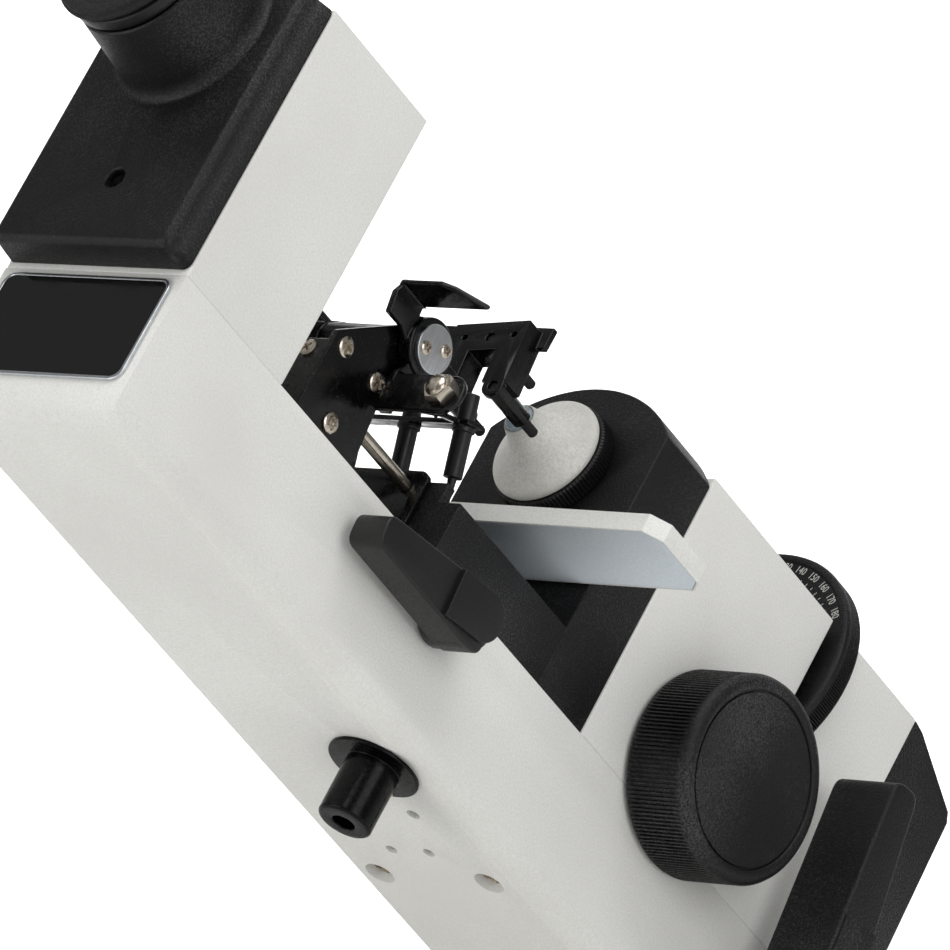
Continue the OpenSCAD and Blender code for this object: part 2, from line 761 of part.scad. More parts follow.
module power_knob() {
    inner = body_x + 1;
    color("black") on_tube() translate([0, power_t, -power_n]) rotate([0, 90, 0]) difference() {
        rotate_extrude($fn = 128) polygon([
            [0, inner + 2], [12, inner + 2], [12, inner], [knob_r - 2, inner], [knob_r, inner + 1.4],
            [knob_r, knob_x - 3], [knob_r - 1.5, knob_x - 0.6], [knob_r - 3, knob_x], [knob_r - 4.4, knob_x],
            [knob_r - 4.9, knob_x - 1.2], [knob_r - 5.4, knob_x - 0.4], [knob_r - 12, knob_x - 2.4],
            [knob_r - 20, knob_x - 3.6], [0, knob_x - 4]
        ]);
        for (i = [0 : 89]) rotate(i * 4 + 1.3) translate([knob_r + 0.3, 0, inner + 2.4])
            cylinder(r = 0.9, h = knob_x - inner - 6.6, $fn = 6);
        translate([0, 0, inner - 1]) cylinder(r = 4, h = knob_x - 8 - inner + 1);
    }
}

// ---- lamp end ----

module lamp_cover() {
    x = body_x - 0.2;
    knee_t = block_end_t + 5;
    color("dimgray") on_tube() difference() {
        intersection() {
            side_plate(-x, x) polygon([
                [block_end_t, -seam_n + 0.4], [block_end_t, block_top_n], [knee_t, block_top_n - 1],
                [lamp_end_t - 4.5, 4.6], [lamp_end_t - 2.6, 1.5], [lamp_end_t, -seam_n + 6],
                [lamp_end_t - 6, -seam_n + 0.4]
            ]);
            cross_plate(block_end_t, lamp_end_t) round_rect([-x, -seam_n + 0.4], [x, block_top_n + 4], 4);
        }
        side_plate(-x + wall, x - wall) polygon([
            [block_end_t - 1, -seam_n + 4], [block_end_t - 1, block_top_n - wall], [knee_t, block_top_n - wall - 1],
            [lamp_end_t - 8.5, 2], [lamp_end_t - 4, -seam_n + 8], [lamp_end_t - 8, -seam_n + 4]
        ]);
        for (i = [-3 : 3]) span([i * 7 - 1.2, block_end_t + 12, -seam_n - 1], [i * 7 + 1.2, lamp_end_t - 10, -seam_n + 5]);
    }
}

module lamp_board() {
    color("seagreen") on_tube() span([-16, block_end_t + 2, -14], [16, block_end_t + 3.6, 10]);
    color("white") on_tube() along_t(4, block_end_t - 0.5, block_end_t + 2);
}

module condenser_lens() {
    color("lightblue") on_tube() turned([
        [0, slot_end_t + 12], [10, slot_end_t + 14], [10, slot_end_t + 16], [0, slot_end_t + 18]
    ]);
    color("black") on_tube() difference() {
        span([-inner_x, slot_end_t + 13, -cavity_n + wall], [inner_x, slot_end_t + 17, 12]);
        along_t(10, slot_end_t + 12, slot_end_t + 18);
    }
}

module green_filter() {
    color("green") on_tube() along_t(9, slot_end_t + wall + 3, slot_end_t + wall + 4.5);
    color("black") on_tube() difference() {
        span([-inner_x, slot_end_t + wall + 2.8, -12], [inner_x, slot_end_t + wall + 4.7, 11]);
        along_t(9, slot_end_t, slot_end_t + wall + 6);
    }
}

// ---- lens table and its lever ----

housing_top_n = 56;
pad_x = pin_pitch + 5.6;

module slide_housing() {
    x = body_x - 0.2;
    color("black") on_tube() difference() {
        union() {
            span([-x, -housing_front_t, -seam_n], [x, arch_t, -housing_top_n]);
            span([-pad_x, -housing_front_t, -housing_top_n - 1], [pad_x, -housing_front_t + 3.5, -pad_n]);
        }
        span([-well_x, -housing_front_t + 8, -seam_n - 1], [well_x, arch_t - 6, -housing_top_n - wall]);
        span([-column_x - gap, column_t - column_m - gap, -seam_n - 1],
            [column_x + gap, column_t + column_d + gap, -pad_n]);
        for (x = [-rod_x, rod_x]) {
            along_t(rod_r + run, -housing_front_t - 1, -housing_front_t + 4, x, -rod_n);
            along_t(rod_r + 1, -housing_front_t + 3.4, arch_t - 2, x, -rod_n);
        }
    }
}

module ink_pad() {
    color("dimgray") on_tube() for (x = [-pin_pitch, 0, pin_pitch]) side_plate(x - 5, x + 5) polygon([
        [-housing_front_t + 3.5, -housing_top_n], [-housing_front_t + 3.5, -housing_top_n + 1.6],
        [-housing_front_t + 12, -housing_top_n + 1.6], [-housing_front_t + 13.6, -housing_top_n]
    ]);
}

module table_outline(x, d, c) {
    polygon([
        [-x + c, 0], [x - c, 0], [x, c], [x, d - 4], [x - 4, d], [-x + 4, d], [-x, d - 4], [-x, c]
    ]);
}

liner_h = 1;
liner_rim = 0.5;

module table_plate() {
    color("ghostwhite") on_tube() translate([0, -table_front_t, -table_n - table_h]) difference() {
        linear_extrude(table_h) table_outline(table_x, table_d - 0.4, 5);
        translate([0, liner_rim, -1]) linear_extrude(1 + liner_h)
            table_outline(table_x - liner_rim, table_d - 0.4 - 2 * liner_rim, 4.7);
    }
}

module table_underside() {
    rim = liner_rim + 0.1;
    color("lightslategray") on_tube() translate([0, -table_front_t + rim, -table_n - table_h])
        linear_extrude(liner_h) table_outline(table_x - rim, table_d - 0.4 - 2 * rim, 4.7);
}

module table_column() {
    top = -table_n - table_h;
    low = -lever_n - 5.6 * PI * column_m;
    color("silver") on_tube() {
        span([-column_x, column_t + 1.3 * column_m, low], [column_x, column_t + column_d, top]);
        translate([0, column_t, -lever_n]) rotate([-90, 0, 0])
            rack_teeth(column_m, -6 * PI * column_m, 11, 2 * column_x);
    }
}

module sector_gear() {
    color("silver") on_tube() {
        translate([-column_x, -lever_t, -lever_n]) rotate([0, 90, 0]) rotate(90) linear_extrude(2 * column_x)
            intersection() {
                gear_outline(column_m, sector_z, [-7 : 7]);
                polygon([[-6, -6], [sector_r + 3, -sector_r + 3], [sector_r + 3, sector_r - 3], [-6, 6]]);
            }
        along_x(5, -column_x - 4, body_x + 12, -lever_t, -lever_n);
    }
}

lever_tilt = 4.6;

lever_pad_l = 14;
lever_tip_r = 4.4;

module table_lever() {
    x0 = body_x + 1.2;
    x1 = body_x + 18.6;
    boss_r = 9.3;
    color("dimgray") on_tube() translate([0, -lever_t, -lever_n]) difference() {
        rotate([lever_tilt, 0, 0]) union() {
            side_plate(x0, x1 - 3.5) circle(boss_r);
            side_plate(x0 + 3, x1 - 1.5) {
                tip_t = lever_tip_r - lever_l;
                polygon([[0, -boss_r], [0, boss_r], [tip_t, lever_tip_r], [tip_t, -lever_tip_r]]);
                translate([tip_t, 0]) circle(lever_tip_r);
            }
            side_plate(x1 - 5, x1) {
                translate([0.8, 1.4]) circle(boss_r - 1.6);
                polygon([[0.8, 1.4 - boss_r + 1.6], [0.8, boss_r - 0.2], [-lever_pad_l, 7.7], [-lever_pad_l, -7.3]]);
            }
        }
        along_x(5, x0 - 1, body_x + 12, 0, 0);
    }
}

// ---- lens holder and marker ----

module bracket_outline() {
    polygon([
        [-bracket_front_t, -39], [-hub_t - 10, -hub_n + 1], [-hub_t - 4, -hub_n + 5], [-hub_t + 5, -hub_n + 4],
        [-hub_t + 6, -hub_n - 6], [-bracket_rear_t, -hub_n - 12], [-bracket_rear_t, -46],
        [-bracket_rear_t + 2, -rod_n - 9], [-bracket_rear_t + 2, -seam_n + gap], [-bracket_front_t, -seam_n + gap]
    ]);
}

module holder_bracket() {
    block_t = bracket_rear_t + 7;
    color("black") on_tube() difference() {
        union() {
            for (x = [-bracket_x, bracket_x - sheet]) side_plate(x, x + sheet) bracket_outline();
            span([-bracket_x + sheet, -bracket_front_t, -seam_n + gap],
                [bracket_x - sheet, -bracket_front_t + sheet, -42]);
            span([-bracket_x + sheet, -block_t, -rod_n - 5], [bracket_x - sheet, -bracket_rear_t, -rod_n + 5]);
            along_x(6.5, -bracket_x + sheet, bracket_x - sheet, -hub_t, -hub_n);
        }
        along_x(4 + run, -bracket_x - 1, bracket_x + 1, -hub_t, -hub_n);
        for (x = [-rod_x, rod_x]) along_t(rod_r, -block_t - 1, -bracket_rear_t + 1, x, -rod_n);
    }
}

module bracket_screws() {
    color("silver") on_tube() {
        for (p = [[-86.8, -40.9], [-69.4, -40.7], [-78.2, -61.4]])
            translate([bracket_x, p[0], p[1]]) rotate([0, 90, 0]) cross_screw(2.7, 1.2, 0.7);
        translate([11, -bracket_front_t, -46]) rotate([90, 0, 0]) cross_screw(2.7, 1.2, 0.7);
    }
}

push_l = 18;

module guide_rods() {
    color("silver") on_tube() for (x = [-rod_x, rod_x])
        along_t(rod_r, -bracket_rear_t - 7, -table_front_t - 2 * gap - push_l, x, -rod_n);
}

module lug_plate() {
    color("black") on_tube() difference() {
        cross_plate(-housing_front_t - sheet, -housing_front_t)
            round_rect([-bracket_x - 3, -seam_n], [bracket_x + 2, -47], 4);
        for (x = [-rod_x, rod_x]) along_t(rod_r + run, -housing_front_t - 4, -housing_front_t + 1, x, -rod_n);
    }
}

yoke_t = 24;
yoke_d = 8.5;
yoke_lean = 6;
peg_at = [[10.6, -6.4], [0, 10.6], [-9.4, -7]];

module yoke_outline() {
    rotate(yoke_lean) difference() {
        union() {
            translate([-13.6, 6]) square([27.2, 10]);
            for (x = [-13.6, 5]) translate([x, -6]) square([8.6, 14]);
        }
        for (x = [-8.5, 9.6]) translate([x, 11]) circle(1);
    }
}

module lens_clamp() {
    side_x = clamp_rod_x + 2.2;
    color("black") on_tube() {
        difference() {
            union() {
                cross_plate(-yoke_t, -yoke_t + yoke_d) yoke_outline();
                cross_plate(-yoke_t, -yoke_t + 2) for (p = peg_at) translate(p) circle(3.8);
                for (p = peg_at) along_t(3, -yoke_t, -7.4, p[0], p[1]);
                span([7, -yoke_t + yoke_d - 2, 12], [15.4, -yoke_t + yoke_d, 19.5]);
                span([-side_x, -yoke_t, 7], [-12, -yoke_t + 4, 14]);
                span([-side_x, -yoke_t, -clamp_rod_n - 4], [-side_x + 4.4, -yoke_t + 4, 14]);
            }
            for (p = peg_at) along_t(1.6, -yoke_t - 1, -6, p[0], p[1]);
            along_t(clamp_rod_r, -yoke_t - 1, -yoke_t + 3, -clamp_rod_x, -clamp_rod_n);
        }
        along_t(clamp_rod_r, -head_rear_t - 14, -yoke_t + 3, -clamp_rod_x, -clamp_rod_n);
    }
}

module clamp_pegs() {
    color("black") on_tube() for (p = peg_at) {
        along_t(1.6, -yoke_t + 1, -0.9, p[0], p[1]);
        translate([p[0], -0.9, p[1]]) rotate([-90, 0, 0]) cylinder(r1 = 1.6, r2 = 1, h = 0.6);
    }
}

marker_x = bracket_x + 0.4;
disc_x = marker_x + 4.6;

module hub_disc() {
    color("silver") on_tube() {
        along_x(7.65, disc_x, disc_x + 1.6, -hub_t, -hub_n);
        along_x(4, -bracket_x - 3.4, disc_x + 0.1, -hub_t, -hub_n);
        along_x(6.5, -bracket_x - 3.4, -bracket_x - gap, -hub_t, -hub_n);
        for (a = [30, 210]) translate([disc_x + 1.5, -hub_t + 4.2 * cos(a), -hub_n + 4.2 * sin(a)])
            rotate([0, 90, 0]) cross_screw(1.7, 0.8, 0.5);
    }
}

pin_s = 16.3;

// Place along the parked pins: z runs from the bar to the tips, which lie on the optical axis' level
// once the lever has swung through park_a.
module along_pins(x) {
    translate([x, -hub_t, -hub_n]) rotate([-90 - park_a, 0, 0]) translate([0, -hub_n, pin_s]) children();
}

tab_n = hub_n - 10;
lug_t = hub_t + 6.2;
lug_n = hub_n + 19.3;
lug_x = bracket_x + 25.8;
lug_r = 6.3;
heel_at = [hub_t - 12, hub_n + 5.2];

module marker_lever() {
    color("black") on_tube() difference() {
        union() {
            side_plate(marker_x, disc_x) translate([-hub_t, -hub_n]) circle(9.2);
            side_plate(marker_x + 1, marker_x + 3.2) {
                polygon([
                    [-hub_t - 21, -hub_n + 5], [-hub_t - 19.6, -hub_n - 1.6], [-hub_t - 13, -hub_n - 1.5],
                    [-hub_t, -hub_n - 8], [-hub_t + 2, -hub_n + 6.5], [-hub_t - 1, -hub_n + 7.8],
                    [-hub_t - 8.6, -hub_n + 5.5], [-hub_t - 9, -tab_n + 0.2], [-hub_t - 18.8, -tab_n + 0.2]
                ]);
                polygon([
                    [-hub_t - 6, -hub_n - 24.6], [-hub_t - 6.3, -hub_n - 12.6], [-hub_t, -hub_n],
                    [-heel_at[0] + 2, -heel_at[1] + 7.5], [-heel_at[0] + 4, -heel_at[1] - 6.6]
                ]);
                translate([-heel_at[0], -heel_at[1]]) circle(7.6);
            }
            cross_plate(-lug_t, -lug_t + sheet) {
                translate([marker_x + 1, -lug_n - lug_r]) square([lug_x - marker_x - 1, 2 * lug_r]);
                translate([lug_x, -lug_n]) circle(lug_r);
            }
            translate([0, 0, -tab_n - 1.8]) linear_extrude(1.8)
                polygon([
                    [marker_x + 1, -hub_t - 19.8], [marker_x + 16.6, -hub_t - 19.8], [marker_x + 20.6, -hub_t - 17.4],
                    [marker_x + 27.8, -hub_t - 8.6], [marker_x + 1, -hub_t - 8.6]
                ]);
        }
        along_x(4 + seat, 0, disc_x + 1, -hub_t, -hub_n);
    }
    color("silver") on_tube() translate([lug_x - 1, -lug_t, -lug_n]) rotate([90, 0, 0]) {
        cylinder(r = 4.4, h = 3.2, $fn = 6);
        cylinder(r = 3, h = 4.6);
    }
}

module pin_bar() {
    bar_x = pin_pitch + 3.8;
    color("silver") on_tube() difference() {
        union() {
            along_pins(0) translate([-bar_x, -4.2, -1.5]) cube([2 * bar_x, 7.2, 1.5]);
            along_pins(marker_x + 2.1) translate([-1, 2, -1.5]) cube([1.9, 8, 1.5]);
        }
        for (x = [-pin_pitch, 0, pin_pitch]) along_pins(x) translate([0, 0, -5]) cylinder(r = 2 + seat, h = 10);
        side_plate(marker_x + 1 - seat, marker_x + 3.2 + seat) translate([-heel_at[0], -heel_at[1]]) circle(7.6 + seat);
    }
}

nib_l = 25;

module ink_pins() {
    color("black") on_tube() for (x = [-pin_pitch, 0, pin_pitch]) along_pins(x) {
        translate([0, 0, -9.5]) cylinder(r = 2.7, h = 7.9);
        translate([0, 0, -2]) cylinder(r = 2, h = 3);
        cylinder(r = 3.4, h = 1.8);
        translate([0, 0, 1.7]) cylinder(r = 2.8, h = 13.7);
        translate([0, 0, 15.3]) cylinder(r1 = 1.4, r2 = 0.5, h = nib_l - 15.3);
    }
}

base_casting();
base_bottom_plate();
base_feet();
base_screws();
transformer();
mains_inlet();
switch_bezel();
rocker_switch();
tilt_shaft();
tilt_lock_lever();
spine();
head_shell();
head_cover();
name_panel_frame();
name_panel();
eyepiece_turret();
dioptre_ring();
eyecup();
eye_lens_cell();
eye_lens();
reticle();
erecting_prism();
objective_lens();
front_block();
lower_block();
nosepiece();
lens_stop_tip();
nose_ring();
collimator_lens();
wheel_spigot();
axis_wheel();
target_guide_rods();
target_carriage();
target_holder();
target_plate();
power_shaft();
power_knob();
shaft_bushes();
lamp_cover();
lamp_board();
condenser_lens();
green_filter();
slide_housing();
ink_pad();
table_plate();
table_underside();
table_column();
table_lever();
sector_gear();
holder_bracket();
bracket_screws();
guide_rods();
lug_plate();
lens_clamp();
clamp_pegs();
marker_lever();
hub_disc();
pin_bar();
ink_pins();
rest_post();
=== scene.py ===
"""Desk lensmeter: the looks of every piece, set out as the instrument is put together."""

import json

import bmesh
import bpy
import numpy as np
from mathutils import Matrix, Vector

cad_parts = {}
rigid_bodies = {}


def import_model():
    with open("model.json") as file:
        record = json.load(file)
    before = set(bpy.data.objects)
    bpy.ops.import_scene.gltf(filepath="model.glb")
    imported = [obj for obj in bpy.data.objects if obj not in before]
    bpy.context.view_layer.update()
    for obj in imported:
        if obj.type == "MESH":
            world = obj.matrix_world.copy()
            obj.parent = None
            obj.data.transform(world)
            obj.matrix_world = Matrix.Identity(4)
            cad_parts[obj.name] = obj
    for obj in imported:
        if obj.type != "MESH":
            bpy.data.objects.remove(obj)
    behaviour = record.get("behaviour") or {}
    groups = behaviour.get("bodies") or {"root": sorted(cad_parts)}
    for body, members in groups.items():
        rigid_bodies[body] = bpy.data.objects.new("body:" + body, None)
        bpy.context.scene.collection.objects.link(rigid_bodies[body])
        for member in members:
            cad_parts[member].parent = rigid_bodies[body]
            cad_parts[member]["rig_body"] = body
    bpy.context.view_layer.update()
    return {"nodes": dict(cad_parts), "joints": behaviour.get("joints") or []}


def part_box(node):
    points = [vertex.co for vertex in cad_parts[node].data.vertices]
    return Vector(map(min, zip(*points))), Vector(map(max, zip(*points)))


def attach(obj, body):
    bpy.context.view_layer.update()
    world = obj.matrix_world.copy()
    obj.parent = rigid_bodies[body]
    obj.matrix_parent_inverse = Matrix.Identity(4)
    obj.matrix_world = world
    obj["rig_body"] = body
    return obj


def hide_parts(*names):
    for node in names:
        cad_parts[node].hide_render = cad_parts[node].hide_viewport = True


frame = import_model()

# ---- The tube's directions ----
# Spine, head and block are one stiff tube that tilts on the base. Its pieces are worked out in
# millimetres as (x, t, n): to the user's right, along the optical axis away from the user, and square
# to both, counted from the tip of the lens stop.

joints = {joint["name"]: joint for joint in frame["joints"]}
t_axis = np.array(joints["axis_turn"]["axis"], float)
n_axis = np.array(joints["table_slide"]["axis"], float)
tube_axes = np.stack([np.cross(t_axis, n_axis), t_axis, n_axis])


def node_points(node):
    """Vertices of a CAD node in metres, one row each."""
    mesh = frame["nodes"][node].data
    flat = np.empty(len(mesh.vertices) * 3, np.float32)
    mesh.vertices.foreach_get("co", flat)
    return flat.reshape(-1, 3).astype(float)


on_axis = np.array(joints["axis_turn"]["pos_m"], float)
stop_tip = on_axis + t_axis * ((node_points("lens_stop_tip") @ t_axis).min() - on_axis @ t_axis)


def on_tube(points):
    """(x, t, n) in millimetres to metres in the row frame: the tip plus the points times the axes."""
    return stop_tip + np.asarray(points, float) / 1000 @ tube_axes


def tube_span(node):
    """Lowest and highest (x, t, n) of a CAD node, in millimetres."""
    local = (node_points(node) - stop_tip) @ tube_axes.T * 1000
    return local.min(0), local.max(0)


# ---- Base casting ----
# The heavy foot and its two cheeks are one zinc casting, shot-blasted and sprayed with an off-white
# two-pack paint. The paint dries to a fine even pebble that breaks up every highlight.

RIGHT_ANGLE_EDGE = np.radians(28)


def linear(colour):
    """Hex sRGB to linear: ((c + 0.055) / 1.055) ** 2.4, or c / 12.92 near black."""
    c = np.array([int(colour[i : i + 2], 16) for i in (1, 3, 5)]) / 255
    return (*np.where(c > 0.04045, ((c + 0.055) / 1.055) ** 2.4, c / 12.92), 1.0)


def add(tree, kind, inputs=None, **settings):
    """Adds a node to a tree. settings are its properties; inputs are values or sockets to link."""
    node = tree.nodes.new(kind)
    for key, value in settings.items():
        setattr(node, key, value)
    for key, value in (inputs or {}).items():
        if isinstance(value, bpy.types.NodeSocket):
            tree.links.new(value, node.inputs[key])
        else:
            node.inputs[key].default_value = value
    return node


def pebbled(name, low, high, roughness, grain_mm, depth_mm, cloud_mm=30.0, speck_and_glint_levels=(0.14, 0.38), shine=0.5):
    """A sprayed or moulded skin: bumps grain_mm across and depth_mm high. The tone goes from low to
    high between two levels of grain times cloud, and hollows are a little rougher than tops."""
    material = bpy.data.materials.new(name)
    material.use_nodes = True
    tree = material.node_tree
    tree.nodes.clear()
    place = add(tree, "ShaderNodeTexCoord").outputs["Object"]
    grain = add(tree, "ShaderNodeTexNoise",
                {"Vector": place, "Scale": 1000 / grain_mm, "Detail": 2.0, "Roughness": 0.55})
    cloud = add(tree, "ShaderNodeTexNoise", {"Vector": place, "Scale": 1000 / cloud_mm, "Detail": 3.0})
    both = add(tree, "ShaderNodeMath", {0: grain.outputs["Fac"], 1: cloud.outputs["Fac"]}, operation="MULTIPLY")
    tone = add(tree, "ShaderNodeValToRGB", {"Fac": both.outputs[0]})
    tone.color_ramp.elements[0].position, tone.color_ramp.elements[0].color = speck_and_glint_levels[0], linear(low)
    tone.color_ramp.elements[1].position, tone.color_ramp.elements[1].color = speck_and_glint_levels[1], linear(high)
    bump = add(tree, "ShaderNodeBump", {"Height": grain.outputs["Fac"], "Distance": depth_mm / 1000})
    sheen = add(tree, "ShaderNodeMapRange", {"Value": grain.outputs["Fac"], "From Min": 0.35,
                "From Max": 0.65, "To Min": min(1.0, roughness + 0.1), "To Max": roughness - 0.06})
    shader = add(tree, "ShaderNodeBsdfPrincipled",
                 {"Base Color": tone.outputs["Color"], "Roughness": sheen.outputs["Result"],
                  "Normal": bump.outputs["Normal"], "Specular IOR Level": shine, "IOR": 1.5})
    add(tree, "ShaderNodeOutputMaterial", {"Surface": shader.outputs["BSDF"]})
    return material


# Two-pack texture paint: white with a warm cast, satin, with a pebble about half a millimetre across.
texture_paint = pebbled("two_pack_texture_paint", "#dad9d5", "#e8e8e4", 0.5, 0.7, 0.1, cloud_mm=90)


def finish_node(node, material):
    """Gives a CAD node that stays in view its finish."""
    mesh = frame["nodes"][node].data
    mesh.materials.clear()
    mesh.materials.append(material)


def keep(name, mesh, body, material, stands_for):
    """Makes a mesh a piece of the object: its material, its body and what it stands for."""
    piece = bpy.data.objects.new(name, mesh)
    bpy.context.scene.collection.objects.link(piece)
    mesh.materials.clear()
    mesh.materials.append(material)
    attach(piece, body)
    if stands_for:
        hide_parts(*stands_for)
    return piece


def softened(node, name, width_mm, material, segments=3):
    """A copy of a CAD node with its loose triangles merged and its sharp edges rounded over
    width_mm, as a casting's, a moulding's or a painted sheet's are."""
    mesh = frame["nodes"][node].data.copy()
    mesh.name = name
    solid = bmesh.new()
    solid.from_mesh(mesh)
    bmesh.ops.remove_doubles(solid, verts=solid.verts, dist=2e-6)
    bmesh.ops.dissolve_limit(solid, angle_limit=np.radians(0.5), verts=solid.verts, edges=solid.edges)
    for face in solid.faces:
        face.smooth = True
    solid.to_mesh(mesh)
    solid.free()
    body = frame["nodes"][node]["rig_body"]
    piece = keep(name, mesh, body, material, [node])
    edge = piece.modifiers.new("edge", "BEVEL")
    edge.width = width_mm / 1000
    edge.segments = segments
    edge.limit_method = "ANGLE"
    edge.angle_limit = RIGHT_ANGLE_EDGE
    edge.use_clamp_overlap = False
    edge.harden_normals = True
    return piece


softened("base_casting", "base_and_cheeks", 1.6, texture_paint, segments=4)

# ---- Under the base ----
# A zinc-plated steel plate closes the hollow casting, and four screws hold it and the rubber feet.

zinc_plate = pebbled("zinc_plated_sheet", "#8f9294", "#aab0b3", 0.42, 3.0, 0.01, cloud_mm=12)
zinc_plate.node_tree.nodes["Principled BSDF"].inputs["Metallic"].default_value = 1.0
# Moulded rubber: near-black, dull, with a faint dusty bloom.
moulded_rubber = pebbled("moulded_rubber", "#0b0b0b", "#191918", 0.78, 0.9, 0.03)
softened("base_bottom_plate", "bottom_plate", 0.3, zinc_plate)
softened("base_feet", "feet", 0.7, moulded_rubber)


def lined_metal(name, low, high, roughness, line_mm, along, depth_mm=0.004):
    """Bare metal whose tool marks run across one of the tube's axes (0 x, 1 t, 2 n), line_mm apart:
    a noise squeezed along the axis and stretched twenty times across it."""
    material = bpy.data.materials.new(name)
    material.use_nodes = True
    tree = material.node_tree
    tree.nodes.clear()
    place = add(tree, "ShaderNodeTexCoord").outputs["Object"]
    tilt = Matrix(tube_axes.tolist()).to_euler()
    turned_in = add(tree, "ShaderNodeMapping", {"Vector": place, "Rotation": tuple(tilt)})
    stretch = [1000 / line_mm / 20] * 3
    stretch[along] = 1000 / line_mm
    squeezed = add(tree, "ShaderNodeMapping", {"Vector": turned_in.outputs[0], "Scale": tuple(stretch)})
    lines = add(tree, "ShaderNodeTexNoise", {"Vector": squeezed.outputs[0], "Scale": 1.0, "Detail": 3.0})
    tone = add(tree, "ShaderNodeValToRGB", {"Fac": lines.outputs["Fac"]})
    tone.color_ramp.elements[0].position, tone.color_ramp.elements[0].color = 0.3, linear(low)
    tone.color_ramp.elements[1].position, tone.color_ramp.elements[1].color = 0.7, linear(high)
    bump = add(tree, "ShaderNodeBump", {"Height": lines.outputs["Fac"], "Distance": depth_mm / 1000})
    sheen = add(tree, "ShaderNodeMapRange", {"Value": lines.outputs["Fac"], "To Min": roughness + 0.08,
                "To Max": roughness - 0.06})
    shader = add(tree, "ShaderNodeBsdfPrincipled",
                 {"Base Color": tone.outputs["Color"], "Roughness": sheen.outputs["Result"],
                  "Normal": bump.outputs["Normal"], "Metallic": 1.0})
    add(tree, "ShaderNodeOutputMaterial", {"Surface": shader.outputs["BSDF"]})
    return material


# Nickel over steel: warm grey, bright, with faint turning marks.
nickel_plate = lined_metal("nickel_plate", "#a89c8c", "#d9d2c6", 0.2, 0.25, 1)


def cross_head(centre, normal, radius, height, turn, rings=22, columns=72):
    """One cross-recess screw head as a grid: a dome height * (1 - (r/R)^4), sunk where both the
    distance across an arm and the distance along it are small, then the rim and a flat back."""
    r = np.concatenate([np.linspace(0, 1, rings), [1.0, 0.0]])[:, None]
    a = np.linspace(0, 2 * np.pi, columns, endpoint=False)[None, :]
    x, y = r * np.cos(a + turn), r * np.sin(a + turn)
    across, length = np.minimum(abs(x), abs(y)), np.maximum(abs(x), abs(y))
    arm = np.clip((0.17 - across) / 0.06, 0, 1) * np.clip((0.66 - length) / 0.12, 0, 1)
    z = height * (1 - 0.45 * r**4) - arm * 0.75 * height
    z[-2:] = 0
    normal = np.asarray(normal, float) / np.linalg.norm(normal)
    side = np.cross(normal, [0.31, 0.53, 0.79])
    side /= np.linalg.norm(side)
    up = np.cross(normal, side)
    flat = radius * (r * np.cos(a))[..., None] * side + radius * (r * np.sin(a))[..., None] * up
    return np.asarray(centre) + flat + z[..., None] * normal


def grid_piece(name, grids, body, material, stands_for=(), sharp=32):
    """One mesh from grids of points whose columns close into rings. Repeated points are merged,
    normals are turned outwards, and edges over the sharp angle stay crisp."""
    points, faces, start = [], [], 0
    for grid in grids:
        rows, columns = grid.shape[:2]
        index = start + np.arange(rows * columns).reshape(rows, columns)
        beside = np.roll(index, -1, axis=1)
        faces.append(np.stack([index[:-1], index[1:], beside[1:], beside[:-1]], -1).reshape(-1, 4))
        points.append(grid.reshape(-1, 3))
        start += rows * columns
    mesh = bpy.data.meshes.new(name)
    mesh.from_pydata(np.concatenate(points).tolist(), [], np.concatenate(faces).tolist())
    solid = bmesh.new()
    solid.from_mesh(mesh)
    bmesh.ops.remove_doubles(solid, verts=solid.verts, dist=2e-6)
    bmesh.ops.recalc_face_normals(solid, faces=solid.faces)
    solid.to_mesh(mesh)
    solid.free()
    mesh.polygons.foreach_set("use_smooth", np.ones(len(mesh.polygons), bool))
    mesh.set_sharp_from_angle(angle=np.radians(sharp))
    return keep(name, mesh, body, material, stands_for)


low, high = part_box("base_screws")
foot_x, foot_y = high[0] - 0.0034, high[1] - 0.0034
SCREW_HEAD_MM = 3.4
grid_piece(
    "bottom_screws",
    [cross_head((x, y, 0.004), (0, 0, -1), SCREW_HEAD_MM / 1000, 0.002, 0.4)
     for x in (-foot_x, foot_x) for y in (-foot_y, foot_y)],
    "base", nickel_plate, ["base_screws"],
)

# ---- Mains parts ----
# The transformer, the socket with its fuse drawer and the rocker switch are bought parts: varnished
# iron sheets, and glossy black nylon with nickel blades.

# Moulded nylon: smooth and glossy, with hardly any grain.
glossy_nylon = pebbled("glossy_nylon", "#020202", "#040405", 0.2, 1.2, 0.004, shine=0.15)
varnished_iron = pebbled("varnished_iron", "#1b1a19", "#33302d", 0.4, 0.5, 0.03)
red_nylon = pebbled("red_nylon", "#5a0a0a", "#7a1410", 0.3, 1.2, 0.006)
finish_node("transformer", varnished_iron)
softened("mains_inlet", "mains_socket", 0.4, glossy_nylon)
softened("switch_bezel", "switch_frame", 0.4, glossy_nylon)
softened("rocker_switch", "switch_rocker", 0.5, red_nylon)

# ---- Tilt shaft and its lock ----
# A ground steel shaft carries the tube, and a moulded black lever on its right end clamps the tilt.

ground_steel = lined_metal("ground_steel", "#8d9092", "#b9bcbe", 0.28, 0.3, 0)
# Moulded ABS with a spark-eroded grain: black, matt in the hollows and glinting on the tops. The grain's tops are
# also painted grey in the base colour as painted glints.
grained_abs_painted_glints = pebbled("grained_abs_painted_glints", "#010102", "#3c3c3e", 0.46, 0.6, 0.22, cloud_mm=60,
                      speck_and_glint_levels=(0.25, 0.44), shine=0.35)
# The same plastic from a polished mould face, as levers have where fingers rub.
smooth_abs = pebbled("smooth_abs", "#090909", "#151516", 0.38, 0.8, 0.03, cloud_mm=60, shine=0.4)
softened("tilt_shaft", "shaft", 0.8, ground_steel)


